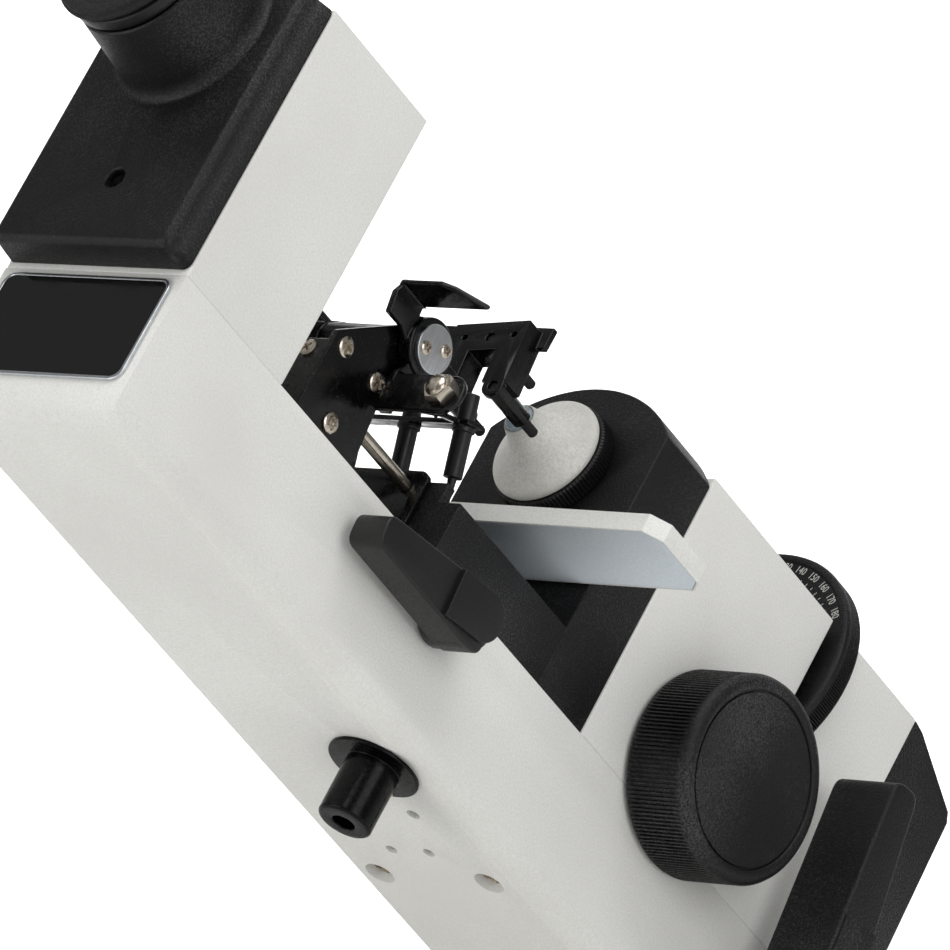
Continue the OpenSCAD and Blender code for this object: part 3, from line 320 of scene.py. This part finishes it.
def rounded(outline, radius, steps=4, closed=True):
    """Rounds each corner of an outline of points: from a point radius before the corner to
    one radius after it runs the quadratic curve that the corner pulls."""
    p = np.array(outline, float)

    def towards(q):
        gap = q - p
        length = np.linalg.norm(gap, axis=1, keepdims=True)
        return p + gap * np.minimum(radius / np.maximum(length, 1e-9), 0.45)

    s = np.linspace(0, 1, steps + 1)[None, :, None]
    before, after = towards(np.roll(p, 1, 0))[:, None], towards(np.roll(p, -1, 0))[:, None]
    curve = ((1 - s) ** 2 * before + 2 * s * (1 - s) * p[:, None] + s**2 * after).reshape(-1, 2)
    if closed:
        return np.concatenate([curve, curve[:1]])
    return np.concatenate([p[:1], curve[steps + 1 : -steps - 1], p[-1:]])


def spun(outline, degrees, centre):
    """Turns an outline of (t, n) about x, as t cos a - n sin a and t sin a + n cos a, and moves it."""
    a = np.radians(degrees)
    t, n = np.array(outline, float).T
    return np.stack([t * np.cos(a) - n * np.sin(a), t * np.sin(a) + n * np.cos(a)], -1) + centre


def moulded(outline, x0, x1, edge):
    """A slab from x0 to x1 whose outline shrinks by edge times 1 - sin s while x goes edge times
    1 - cos s from each face, so its rims are quarter rounds; its faces close on their middle."""
    p = np.asarray(outline, float)
    along = np.roll(p, -1, 0) - np.roll(p, 1, 0)
    outward = np.stack([along[:, 1], -along[:, 0]], -1) / np.linalg.norm(along, axis=1, keepdims=True)
    turn = np.sum(p[:, 0] * np.roll(p[:, 1], -1) - p[:, 1] * np.roll(p[:, 0], -1))
    s = np.linspace(0, np.pi / 2, 6)[:, None, None]
    rim = p - np.sign(turn) * outward * edge * (1 - np.sin(s))
    depth = edge * (1 - np.cos(s)) + 0 * rim[..., :1]
    rings = np.concatenate([np.concatenate([x0 + depth, rim], -1),
                            np.concatenate([x1 - depth, rim], -1)[::-1]])
    middle = np.broadcast_to(p.mean(0), p.shape)
    cap = [np.concatenate([np.full((len(p), 1), x), middle], -1)[None] for x in (x0, x1)]
    return on_tube(np.concatenate([cap[0], rings, cap[1]]))


def disc(radius, columns=72):
    """Outline of a circle."""
    a = np.linspace(0, 2 * np.pi, columns, endpoint=False)
    return radius * np.stack([np.cos(a), np.sin(a)], -1)


pivot = (np.array(joints["tilt"]["pos_m"]) - stop_tip) @ tube_axes.T * 1000
low, high = tube_span("tilt_lock_lever")
LOCK_LEAN, LOCK_TOP, PAD_TOP = 10, 80.5, 36
lock_arm = rounded([[-10, 0], [-5.6, LOCK_TOP], [5.6, LOCK_TOP], [10, 0]], 4.6, 6, closed=True)[:-1]
lock_pad = rounded([[-9.5, -2], [-7.4, PAD_TOP], [7.4, PAD_TOP], [9.5, -2]], 0.6)[:-1]
grid_piece(
    "lock_lever",
    [moulded(spun(disc(13), 0, pivot[1:]), low[0], high[0] - 3, 1.5),
     moulded(spun(lock_arm, LOCK_LEAN, pivot[1:]), low[0] + 1, high[0] - 1, 1.3),
     moulded(spun(lock_pad, LOCK_LEAN, pivot[1:]), high[0] - 3, high[0], 0.3)],
    "tilt_lock", grained_abs_painted_glints, ["tilt_lock_lever"],
)

# ---- Spine and head ----
# Two painted castings make the tube's long arm and the box round the telescope. A moulded black cover
# closes the head in front, and a blank gloss panel in a bright frame closes the spine.

softened("spine", "spine_casting", 0.05, texture_paint)
softened("head_shell", "head_casting", 0.7, texture_paint)
softened("head_cover", "head_front_cover", 0.8, grained_abs_painted_glints, segments=4)
polished_aluminium = lined_metal("polished_aluminium", "#b9bcc0", "#dfe2e5", 0.22, 0.2, 0)
softened("name_panel_frame", "panel_frame", 0.25, polished_aluminium)
gloss_panel = pebbled("gloss_acrylic", "#020203", "#040405", 0.1, 4.0, 0.001)
finish_node("name_panel", gloss_panel)

# ---- Eyepiece ----
# The turret is one black moulding with a wide root fillet. The dioptre ring turns on it, and a soft rubber cup is
# pushed over the ring.


def turned(outline, columns=128, relief=None):
    """Carries an outline of (r, t) round the optical axis: x = r sin a, n = r cos a. relief(r, t, a)
    is added to the radius."""
    outline = np.asarray(outline, float)
    r, t = outline[:, :1], outline[:, 1:]
    a = np.linspace(0, 2 * np.pi, columns, endpoint=False)[None, :]
    radius = r + (relief(r, t, a) if relief else 0)
    return on_tube(np.stack([radius * np.sin(a), t + 0 * a, radius * np.cos(a)], -1))


low, high = tube_span("eyepiece_turret")
turret_back, turret_front = high[1], low[1]
root_r = high[0]
low, high = tube_span("dioptre_ring")
ring_front, ring_back, ring_r = low[1], high[1], high[0]
bore_r = ring_r - 4
cone_length = turret_back - 5 - turret_front - 0.5
wall = np.linspace(0, 1, 8)[1:]
fillet = np.linspace(0, np.pi / 2, 10)[1:]
grid_piece(
    "turret",
    [turned(np.concatenate([
        [[bore_r, turret_front], [ring_r - 0.5, turret_front], [ring_r, turret_front + 0.5]],
        np.stack([ring_r + (root_r - 2.8 - ring_r) * wall, turret_front + 0.5 + cone_length * wall], -1),
        np.stack([root_r - 2.8 + 2.8 * (1 - np.cos(fillet)), turret_back - 5 + 5 * np.sin(fillet)], -1),
        [[bore_r, turret_back], [bore_r, turret_front]]]))],
    "tube", grained_abs_painted_glints, ["eyepiece_turret"],
)
grid_piece(
    "dioptre_grip",
    [turned(rounded([
        [14.6, ring_front], [ring_r - 1.6, ring_front], [ring_r - 1.2, ring_front + 1.7],
        [ring_r - 0.1, ring_front + 2.3], [ring_r, turret_front - 1.6], [ring_r - 0.8, turret_front - 1.2],
        [ring_r - 0.8, turret_front - 0.5], [bore_r - 0.1, turret_front - 0.5],
        [bore_r - 0.1, ring_back], [14.6, ring_back]], 0.35))],
    "eyepiece_ring", smooth_abs, ["dioptre_ring"],
)
low, high = tube_span("eyecup")
cup_lip, cup_root, cup_r = low[1], high[1], high[0]
grid_piece(
    "eyecup_rubber",
    [turned(rounded([
        [14.6, cup_root], [cup_r, cup_root], [cup_r, cup_root - 1.2], [cup_r - 0.9, cup_root - 1.6],
        [cup_r - 0.6, cup_lip + 0.9], [cup_r - 1.4, cup_lip], [cup_r - 3.4, cup_lip],
        [cup_r - 4.8, cup_root - 1.4], [14.6, cup_root - 1.2]], 0.5))],
    "eyepiece_ring", moulded_rubber, ["eyecup"],
)


def glass(name, tint, roughness=0.02):
    """Polished optical glass with its anti-reflection coat: clear, with a faint cool tint."""
    material = bpy.data.materials.new(name)
    material.use_nodes = True
    tree = material.node_tree
    tree.nodes.clear()
    place = add(tree, "ShaderNodeTexCoord").outputs["Object"]
    haze = add(tree, "ShaderNodeTexNoise", {"Vector": place, "Scale": 60.0, "Detail": 2.0})
    bloom = add(tree, "ShaderNodeMapRange", {"Value": haze.outputs["Fac"], "To Min": roughness,
                "To Max": roughness + 0.05})
    shader = add(tree, "ShaderNodeBsdfPrincipled",
                 {"Base Color": linear(tint), "Roughness": bloom.outputs["Result"], "IOR": 1.52,
                  "Transmission Weight": 1.0, "Coat Weight": 0.4})
    add(tree, "ShaderNodeOutputMaterial", {"Surface": shader.outputs["BSDF"]})
    return material


coated_glass = glass("coated_crown_glass", "#dfeaf2")
green_glass = glass("green_filter_glass", "#2f9a55")
for node in ("eye_lens", "reticle", "erecting_prism", "objective_lens", "collimator_lens", "condenser_lens"):
    finish_node(node, coated_glass)
for node in ("green_filter", "target_plate"):
    finish_node(node, green_glass)
finish_node("eye_lens_cell", smooth_abs)

# ---- Front block, lower block and lamp cover ----
# The arched block that carries the collimator is black cast aluminium with a grained paint. The block
# behind it is painted as the spine is, and a moulded cover with cooling slots closes the lamp end.

softened("front_block", "arched_block", 0.6, grained_abs_painted_glints)
softened("lower_block", "block_casting", 0.9, texture_paint)
softened("lamp_cover", "lamp_end_cover", 0.7, grained_abs_painted_glints)
circuit_board = pebbled("solder_masked_board", "#0d3a20", "#14532e", 0.35, 2.0, 0.01)
finish_node("lamp_board", circuit_board)

# ---- Nosepiece ----
# A white nylon cone carries the soft bluish tip that the spectacle lens rests against. A knurled black
# ring screws the cone to the arched block.

# Glass-filled nylon: chalky white with a sandy grain from the mould.
white_nylon = pebbled("glass_filled_nylon", "#c6c5bf", "#dddcd7", 0.6, 0.8, 0.13, cloud_mm=15)
low, high = tube_span("nosepiece")
cone_front, cone_back, cone_r = low[1], high[1], high[0]
tip_r = tube_span("lens_stop_tip")[1][0]
grid_piece(
    "nose_cone",
    [turned(rounded([
        [tip_r + 0.05, cone_front], [tip_r + 0.7, cone_front], [tip_r + 1, cone_front + 1],
        [tip_r + 1.7, cone_front + 3.2], [tip_r + 4.7, cone_front + 9.1], [tip_r + 5.5, cone_front + 10.1],
        [cone_r - 1.4, cone_back - 3.5], [cone_r - 0.6, cone_back - 2.9], [cone_r, cone_back - 1.9],
        [cone_r, cone_back - 0.7], [cone_r - 0.6, cone_back], [cone_r - 3, cone_back],
        [tip_r - 1.5, cone_back - 4], [tip_r - 1.5, cone_front + 6], [tip_r + 0.05, cone_front + 6]], 0.7))],
    "tube", white_nylon, ["nosepiece"], sharp=60,
)
# Soft vinyl: milky and bluish, so that light glows a little way into it.
soft_vinyl = pebbled("soft_vinyl", "#a9bcc6", "#c6d4da", 0.3, 1.5, 0.01, cloud_mm=5)
vinyl = soft_vinyl.node_tree.nodes["Principled BSDF"].inputs
vinyl["Transmission Weight"].default_value = 0.35
vinyl["Subsurface Weight"].default_value = 0.3
vinyl["Subsurface Radius"].default_value = (0.002, 0.002, 0.003)
vinyl["Subsurface Scale"].default_value = 1.0
low, high = tube_span("lens_stop_tip")
grid_piece(
    "lens_stop",
    [turned(rounded([[tip_r - 2, 0.3], [tip_r - 1.0, 0.0], [tip_r, 0.7], [tip_r, high[1]],
                     [tip_r - 2, high[1]]], 0.4))],
    "tube", soft_vinyl, ["lens_stop_tip"],
)
low, high = tube_span("nose_ring")
knurl_front, knurl_back, knurl_r = low[1], high[1], high[0]
NOSE_RIBS = 96


def nose_ribs(r, t, a):
    """Straight knurl: minus 0.5 mm times the square of a sine, on the outside only."""
    return -0.5 * (r > knurl_r - 0.2) * np.sin(a * NOSE_RIBS / 2) ** 2


grid_piece(
    "nose_knurl",
    [turned([[cone_r - 3, knurl_front], [knurl_r - 0.7, knurl_front], [knurl_r, knurl_front + 0.6],
             [knurl_r, knurl_front + 3], [knurl_r, knurl_back - 0.6], [knurl_r - 0.6, knurl_back],
             [cone_r - 3, knurl_back], [cone_r - 3, knurl_front]], NOSE_RIBS * 6, nose_ribs)],
    "tube", smooth_abs, ["nose_ring"],
)

# ---- Axis wheel ----
# A black moulded wheel turns the target. Its rim is ribbed for the thumb, and the sunk front face is
# printed in white with the axis in degrees, 0 to 180 over half a turn.

low, high = tube_span("axis_wheel")
rim_front, rim_back, rim_r = low[1], high[1], high[2]
face_front = rim_front + 0.5
hub_r = 12.05
WHEEL_RIBS = 300


def rim_ribs(r, t, a):
    """Thumb ribs on the rim's rear two thirds: minus 0.55 mm times a clipped cosine."""
    return -0.55 * ((r > rim_r - 0.15) & (t > rim_front + 2.6)) * np.clip(1.4 * np.cos(a * WHEEL_RIBS), 0, 1)


across_rim = [[rim_r, t] for t in np.linspace(rim_front + 1.2, rim_back - 1.1, 10)]
grid_piece(
    "degree_wheel",
    [turned([[hub_r, face_front + 0.2], [rim_r - 2.8, face_front + 0.2], [rim_r - 2.4, rim_front + 0.1],
             [rim_r - 1.2, rim_front], [rim_r - 0.4, rim_front + 0.4], *across_rim,
             [rim_r - 0.6, rim_back - 0.4], [rim_r - 1.2, rim_back], [hub_r, rim_back],
             [hub_r, face_front + 0.2]], WHEEL_RIBS * 6, rim_ribs)],
    "axis_wheel", grained_abs_painted_glints, ["axis_wheel"],
)
NUMBER_R, TICK_R = 37.0, 34.4
ZERO_TURN = np.radians(-125.5)
NUMBER_HEIGHT = 2.5
# Pad-printed ink: a flat off-white with slightly thin edges.
printed_ink = pebbled("pad_printed_ink", "#bdbdb8", "#dcdcd6", 0.6, 0.4, 0.005, cloud_mm=3)


def printed(text, angle):
    """A number's outline as triangles, its foot towards the hub, turned to its place on the wheel."""
    curve = bpy.data.curves.new(text, "FONT")
    curve.body, curve.size = text, NUMBER_HEIGHT / 0.7
    curve.align_x, curve.align_y = "CENTER", "CENTER"
    curve.resolution_u = 3
    letter = bpy.data.objects.new(text, curve)
    mesh = bpy.data.meshes.new_from_object(letter)
    bpy.data.objects.remove(letter)
    mesh.calc_loop_triangles()
    flat = np.empty(len(mesh.vertices) * 3, np.float32)
    mesh.vertices.foreach_get("co", flat)
    flat = flat.reshape(-1, 3)
    corners = np.empty(len(mesh.loop_triangles) * 3, np.int32)
    mesh.loop_triangles.foreach_get("vertices", corners)
    bpy.data.meshes.remove(mesh)
    u, r = flat[:, 0] * 0.82, NUMBER_R + flat[:, 1]
    spin = angle + u / NUMBER_R
    return np.stack([r * np.sin(spin), 0 * r, r * np.cos(spin)], -1), corners.reshape(-1, 3)


def tick(angle, length):
    """A printed line 0.25 mm wide that ends at the tick radius, as two triangles."""
    r = np.array([TICK_R, TICK_R, TICK_R - length, TICK_R - length])
    spin = angle + np.array([-0.125, 0.125, 0.125, -0.125]) / TICK_R
    return np.stack([r * np.sin(spin), 0 * r, r * np.cos(spin)], -1), np.array([[0, 1, 2], [0, 2, 3]])


marks = [printed(str(value), ZERO_TURN + np.radians(value)) for value in range(0, 181, 10)]
marks += [tick(ZERO_TURN + np.radians(value), 1.6 if value % 10 == 0 else 0.9)
          for value in range(0, 181, 5)]
points = np.concatenate([p for p, _ in marks])
starts = np.cumsum([0] + [len(p) for p, _ in marks[:-1]])
faces = np.concatenate([f + s for (_, f), s in zip(marks, starts)])
points[:, 1] = face_front + 0.17
ink = bpy.data.meshes.new("degree_print")
ink.from_pydata(on_tube(points).tolist(), [], faces.tolist())
facing = bmesh.new()
facing.from_mesh(ink)
bmesh.ops.reverse_faces(facing, faces=[f for f in facing.faces if Vector(f.normal).dot(Vector(t_axis)) > 0])
facing.to_mesh(ink)
facing.free()
keep("degree_print", ink, "axis_wheel", printed_ink, [])

# ---- Power knob ----
# The power knob is turned by the right hand. It is a black moulded drum with square ribs, a smooth
# rounded rim and a shallow grained dish, which a narrow groove sets off.

low, high = tube_span("power_knob")
knob_r = (high[1] - low[1]) / 2
knob_t, knob_n = (high[1] + low[1]) / 2, (high[2] + low[2]) / 2
knob_inner, knob_face = low[0], high[0]
KNOB_RIBS = 150


def about_x(outline, columns, centre_t, centre_n, relief=None):
    """Carries an outline of (r, x) round a line along x: t = r cos a, n = r sin a, plus the centre."""
    outline = np.asarray(outline, float)
    r, x = outline[:, :1], outline[:, 1:]
    a = np.linspace(0, 2 * np.pi, columns, endpoint=False)[None, :]
    radius = r + (relief(r, x, a) if relief else 0)
    return on_tube(np.stack([x + 0 * a, centre_t + radius * np.cos(a), centre_n + radius * np.sin(a)], -1))


def knob_ribs(r, x, a):
    """Square ribs: minus 0.75 mm times a clipped, steepened cosine, fading at both ends."""
    band = np.clip((x - knob_inner - 1.2) / 0.8, 0, 1) * np.clip((knob_face - 3.6 - x) / 0.8, 0, 1)
    return -0.75 * (r > knob_r - 0.1) * band * np.clip(0.5 + 1.6 * np.cos(a * KNOB_RIBS), 0, 1)


drum = [[knob_r, x] for x in np.linspace(knob_inner + 1.2, knob_face - 2.6, 14)]
dish = np.linspace(0, 1, 9)[1:]
grid_piece(
    "power_drum",
    [about_x(np.concatenate([
        [[0, knob_inner], [12, knob_inner], [12.5, knob_inner], [knob_r - 1, knob_inner],
         [knob_r - 0.3, knob_inner + 0.5]], drum,
        [[knob_r - 0.5, knob_face - 1.4], [knob_r - 1.4, knob_face - 0.5], [knob_r - 2.6, knob_face],
         [knob_r - 4.2, knob_face - 0.1], [knob_r - 4.7, knob_face - 0.5], [knob_r - 4.9, knob_face - 1.3],
         [knob_r - 5.3, knob_face - 1.3], [knob_r - 5.5, knob_face - 0.6]],
        np.stack([(knob_r - 5.8) * (1 - dish), knob_face - 0.6 - 2.6 * np.sin(dish * np.pi / 2)], -1),
    ]), KNOB_RIBS * 6, knob_t, knob_n, knob_ribs)],
    "power", grained_abs_painted_glints, ["power_knob"], sharp=40,
)

# ---- Target drive ----
# Rods, carriage, rack and pinion are turned and milled steel, aluminium and brass, bright and oiled,
# and can hardly be seen inside the block.

milled_aluminium = lined_metal("milled_aluminium", "#a5a8ab", "#cdd0d2", 0.32, 0.4, 1)
turned_brass = lined_metal("turned_brass", "#a9843f", "#d0aa5c", 0.3, 0.3, 0)
for node in ("target_guide_rods", "wheel_spigot", "power_shaft", "table_column", "sector_gear"):
    finish_node(node, ground_steel)
for node in ("target_carriage", "target_holder"):
    finish_node(node, milled_aluminium)
finish_node("shaft_bushes", turned_brass)

# ---- Slide housing and ink pad ----
# The black block in front of the arch guides the table's column and the holder's rods. Three pads of
# ink-soaked felt lie where the parked pins point.

ink_felt = pebbled("inked_felt", "#07070b", "#16161d", 0.9, 0.35, 0.12)
softened("slide_housing", "guide_housing", 0.4, grained_abs_painted_glints)
finish_node("ink_pad", ink_felt)

# ---- Lens table ----
# The table on which both rims of the spectacles stand is a painted plate with chamfered ends. Its hollow underside
# holds a smooth sheet whose blue-grey tone is painted shade: the white plate's underside seen in shadow.

# Painted shade on sheet metal: blue-grey and even, nearly matt, standing for the shaded underside of the white
# table.
painted_shade_enamel = pebbled("painted_shade_enamel", "#c9d1d8", "#d8dfe4", 0.66, 0.7, 0.015, cloud_mm=50, shine=0.35)
softened("table_plate", "lens_table", 0.2, texture_paint)
# The underside sheet's blue-grey colour is painted shade of the white table, not a paint of its own.
softened("table_underside", "table_underside_shade_sheet", 0.1, painted_shade_enamel, segments=1)
lever_hub = (np.array(joints["table_lever_turn"]["pos_m"]) - stop_tip) @ tube_axes.T * 1000
low, high = tube_span("table_lever")
LEVER_TILT, LEVER_R, LEVER_TIP, TIP_R = 4.6, 9.3, -48, 4.4
lever_arm = rounded([[6, -LEVER_R + 0.5], [6, LEVER_R - 0.5], [0, LEVER_R], [LEVER_TIP, TIP_R + 0.6],
                     [LEVER_TIP, -TIP_R - 0.6], [0, -LEVER_R]], 3.6, 6)[:-1]
arc = np.linspace(-1.3, 1.5, 24)[:, None]
lever_pad = np.concatenate([
    [0.8, 1.4] + (LEVER_R - 1.7) * np.concatenate([np.cos(arc), np.sin(arc)], 1), [[-14, 7.6], [-14, -7.2]]])
grid_piece(
    "table_paddle",
    [moulded(spun(disc(LEVER_R), 0, lever_hub[1:]), low[0], high[0] - 3.5, 0.8),
     moulded(spun(lever_arm, LEVER_TILT, lever_hub[1:]), low[0] + 3, high[0] - 1.5, 0.9),
     moulded(spun(lever_pad, LEVER_TILT, lever_hub[1:]), high[0] - 5, high[0], 0.35)],
    "table_lever", smooth_abs, ["table_lever"],
)

# ---- Lens holder and marker ----
# Bent steel sheet, stamped and sprayed gloss black, carries the marking pins, and a nickel screw holds
# each plate. The marker swings on a steel shaft under a brushed aluminium disc.

# Gloss stoving enamel on steel: deep black with a slight orange peel and bright edges.
stoving_enamel = pebbled("stoving_enamel", "#020203", "#050507", 0.2, 2.2, 0.012, shine=0.35)
softened("holder_bracket", "holder_sheet", 0.5, stoving_enamel)
softened("lug_plate", "rod_lug", 0.3, stoving_enamel)
softened("lens_clamp", "clamp_yoke", 0.3, stoving_enamel)
softened("marker_lever", "marker_sheet", 0.6, stoving_enamel)
softened("pin_bar", "pin_strip", 0.25, stoving_enamel)
softened("ink_pins", "marking_pins", 0.25, smooth_abs)
softened("clamp_pegs", "clamp_pins", 0.2, moulded_rubber)
softened("guide_rods", "holder_rods", 0.3, nickel_plate)

hub = (np.array(joints["marker_swing"]["pos_m"]) - stop_tip) @ tube_axes.T * 1000
low, high = tube_span("hub_disc")
disc_r, disc_face = 7.3, high[0] - 0.8
disc_back = disc_face - 1.6
# Brushed aluminium: straight fine lines with a soft cool shine.
brushed_aluminium = lined_metal("brushed_aluminium", "#b4b7ba", "#d9dcde", 0.3, 0.22, 1)
grid_piece(
    "hub_plate",
    [about_x(rounded([[0, disc_back], [disc_r, disc_back], [disc_r, disc_face], [0, disc_face]],
                     0.35, closed=False), 96, hub[1], hub[2]),
     about_x(rounded([[0, low[0]], [6.5, low[0]], [6.5, low[0] + 2.9], [4, low[0] + 2.9],
                      [4, disc_back + 0.1], [0, disc_back + 0.1]], 0.3, closed=False), 64, hub[1], hub[2])],
    "marker", brushed_aluminium, ["hub_disc"],
)
SCREW_PAIR = np.radians([30, 210])
grid_piece(
    "hub_screws",
    [cross_head(on_tube([disc_face - 0.1, hub[1] + 4.2 * np.cos(a), hub[2] + 4.2 * np.sin(a)]),
                tube_axes[0], 0.0021, 0.001, 0.9) for a in SCREW_PAIR],
    "marker", nickel_plate,
)
# The acorn nut on the marker's lug: a plated hexagon under a dome.
NUT_X, NUT_T, NUT_N, NUT_R, DOME_R = 42.8, -68.4, -41.8, 4.9, 3.5


def hexagon(r, a):
    """Radius of a hexagon with corner radius r: the flat's distance over the cosine from its middle."""
    return r * np.cos(np.pi / 6) / np.cos((a % (np.pi / 3)) - np.pi / 6)


around = np.linspace(0, 2 * np.pi, 72, endpoint=False)[None, :]
rise = np.linspace(0, np.pi / 2, 8)[:, None]
flats = hexagon(NUT_R, around)
ring = np.concatenate([0 * flats, flats, flats, flats * 0.92, DOME_R * np.cos(rise) + 0 * around])
drop = np.concatenate([0 * flats, 0 * flats, 0 * flats - 3, 0 * flats - 3.6, -3.6 - 1.9 * np.sin(rise) + 0 * around])
grid_piece(
    "lug_nut",
    [on_tube(np.stack([NUT_X + ring * np.cos(around), NUT_T + drop, NUT_N + ring * np.sin(around)], -1))],
    "marker", nickel_plate, sharp=25,
)
bracket_side = tube_span("holder_bracket")[1][0]
low, high = tube_span("bracket_screws")
side_screws = [(-86.8, -40.9, 0.2), (-70.2, -40.9, 0.7), (-78.2, -61.4, 1.2)]
grid_piece(
    "holder_screws",
    [cross_head(on_tube([bracket_side - 0.05, t, n]), tube_axes[0], 0.0031, 0.0012, turn)
     for t, n, turn in side_screws]
    + [cross_head(on_tube([11, low[1] + 1.25, -46]), -tube_axes[1], 0.0027, 0.0013, 0.5)],
    "holder", nickel_plate, ["bracket_screws"],
)

# ---- Rest post ----
# A turned black post under the spine keeps the tilted tube off the table top, and two large sunk
# screws near it hold the block to the spine.

low, high = tube_span("rest_post")
post_end, spine_under = low[2], tube_span("spine")[0][2]
POST_X, POST_T, POST_R, FLANGE_R = 17.0, 0.0, 8.3, 14.2


def about_n(outline, columns, centre_x, centre_t):
    """Carries an outline of (r, n) round a line along n: x = r cos a, t = r sin a, plus the centre."""
    outline = np.asarray(outline, float)
    r, n = outline[:, :1], outline[:, 1:]
    a = np.linspace(0, 2 * np.pi, columns, endpoint=False)[None, :]
    return on_tube(np.stack([centre_x + r * np.cos(a), centre_t + r * np.sin(a), n + 0 * a], -1))


grid_piece(
    "post",
    [about_n(rounded([
        [0, spine_under - 0.01], [FLANGE_R, spine_under - 0.01], [FLANGE_R, spine_under - 1.2],
        [POST_R, spine_under - 1.2], [POST_R, post_end + 0.6], [POST_R - 0.8, post_end],
        [3.5, post_end], [3.5, post_end + 5], [0, post_end + 5]], 0.4, closed=False), 96, POST_X, POST_T)],
    "tube", glossy_nylon, ["rest_post"],
)
grid_piece(
    "spine_screws",
    [cross_head(on_tube([x, 57.3, spine_under + 5]), -tube_axes[2], 0.0045, 0.003, 0.3)
     for x in (-21.2, 21.2)]
    + [cross_head(on_tube([POST_X - 2.2, 11.5, spine_under - 1.15]), -tube_axes[2], 0.0018, 0.001, 0.8)],
    "tube", nickel_plate,
)

# ---- Floor, light and camera ----
# The instrument stands on a pale sweep that curves up behind it, under a large soft overhead light
# and two side lights, and is seen from its right front, low and from far off with a long lens.

floor_y = np.concatenate([np.linspace(-4, 2.2, 3), 2.2 + 1.2 * np.sin(np.linspace(0, np.pi / 2, 17)[1:]), [3.4]])
floor_z = np.concatenate([np.zeros(3), 1.2 - 1.2 * np.cos(np.linspace(0, np.pi / 2, 17)[1:]), [4.0]])
floor_x = np.linspace(-6, 6, 5)
sweep = np.stack(np.broadcast_arrays(floor_x[None, :], floor_y[:, None], floor_z[:, None]), -1)
VIEW_AZIMUTH, VIEW_ELEVATION = np.radians(42.0), np.radians(3.8)
facing_view = Matrix.Rotation(VIEW_AZIMUTH, 3, "Z")
index = np.arange(sweep.shape[0] * 5).reshape(-1, 5)
quads = np.stack([index[:-1, :-1], index[:-1, 1:], index[1:, 1:], index[1:, :-1]], -1).reshape(-1, 4)
ground = bpy.data.meshes.new("sweep")
ground.from_pydata((sweep.reshape(-1, 3) @ np.array(facing_view).T).tolist(), [], quads.tolist())
ground.polygons.foreach_set("use_smooth", np.ones(len(ground.polygons), bool))
ground.materials.append(pebbled("pale_paper", "#f4f4f3", "#fafaf9", 0.8, 2.0, 0.01, cloud_mm=400))
backdrop = bpy.data.objects.new("sweep", ground)
bpy.context.scene.collection.objects.link(backdrop)

world = bpy.data.worlds.new("studio")
world.use_nodes = True
world.node_tree.nodes["Background"].inputs["Color"].default_value = (1.0, 1.0, 1.0, 1.0)
world.node_tree.nodes["Background"].inputs["Strength"].default_value = 0.26
bpy.context.scene.world = world
bpy.context.scene.view_settings.view_transform = "Standard"


def soft_light(name, place, target, size, power):
    """A square area light of a given size and power that points at a target."""
    data = bpy.data.lights.new(name, "AREA")
    data.size, data.energy = size, power
    lamp = bpy.data.objects.new(name, data)
    lamp.location = place
    lamp.rotation_euler = (Vector(target) - Vector(place)).to_track_quat("-Z", "Y").to_euler()
    bpy.context.scene.collection.objects.link(lamp)


middle = Vector(stop_tip)
soft_light("overhead", middle + Vector((0.4, -0.2, 1.6)), middle, 1.6, 18)
soft_light("right_side", middle + Vector((1.9, -0.5, 0.5)), middle, 1.3, 12)
soft_light("user_side", middle + Vector((-0.6, -1.9, 0.1)), middle, 1.2, 15)
soft_light("backdrop_wash", middle + Vector((-0.9, 1.2, 1.2)), middle + Vector((-1.9, 2.2, 0.1)), 1.6, 60)

# The long lens keeps the instrument's edges nearly parallel; the camera looks at a point a little
# below and left of the lens stop.
LENS_MM, SENSOR_MM, DISTANCE = 416.84, 36.0, 3.1884
OFFSET_RIGHT, OFFSET_UP = 0.01217, 0.01704
back = np.array([np.sin(VIEW_AZIMUTH) * np.cos(VIEW_ELEVATION),
                 -np.cos(VIEW_AZIMUTH) * np.cos(VIEW_ELEVATION), np.sin(VIEW_ELEVATION)])
right = np.array([np.cos(VIEW_AZIMUTH), np.sin(VIEW_AZIMUTH), 0.0])
up = np.cross(back, right)
data = bpy.data.cameras.new("camera")
data.lens, data.sensor_width = LENS_MM, SENSOR_MM
data.clip_start, data.clip_end = 0.1, 40
camera = bpy.data.objects.new("camera", data)
bpy.context.scene.collection.objects.link(camera)
camera.matrix_world = Matrix.Translation(
    Vector(stop_tip - OFFSET_RIGHT * right - OFFSET_UP * up + DISTANCE * back)
) @ Matrix(np.stack([right, up, back], -1).tolist()).to_4x4()
bpy.context.scene.camera = camera
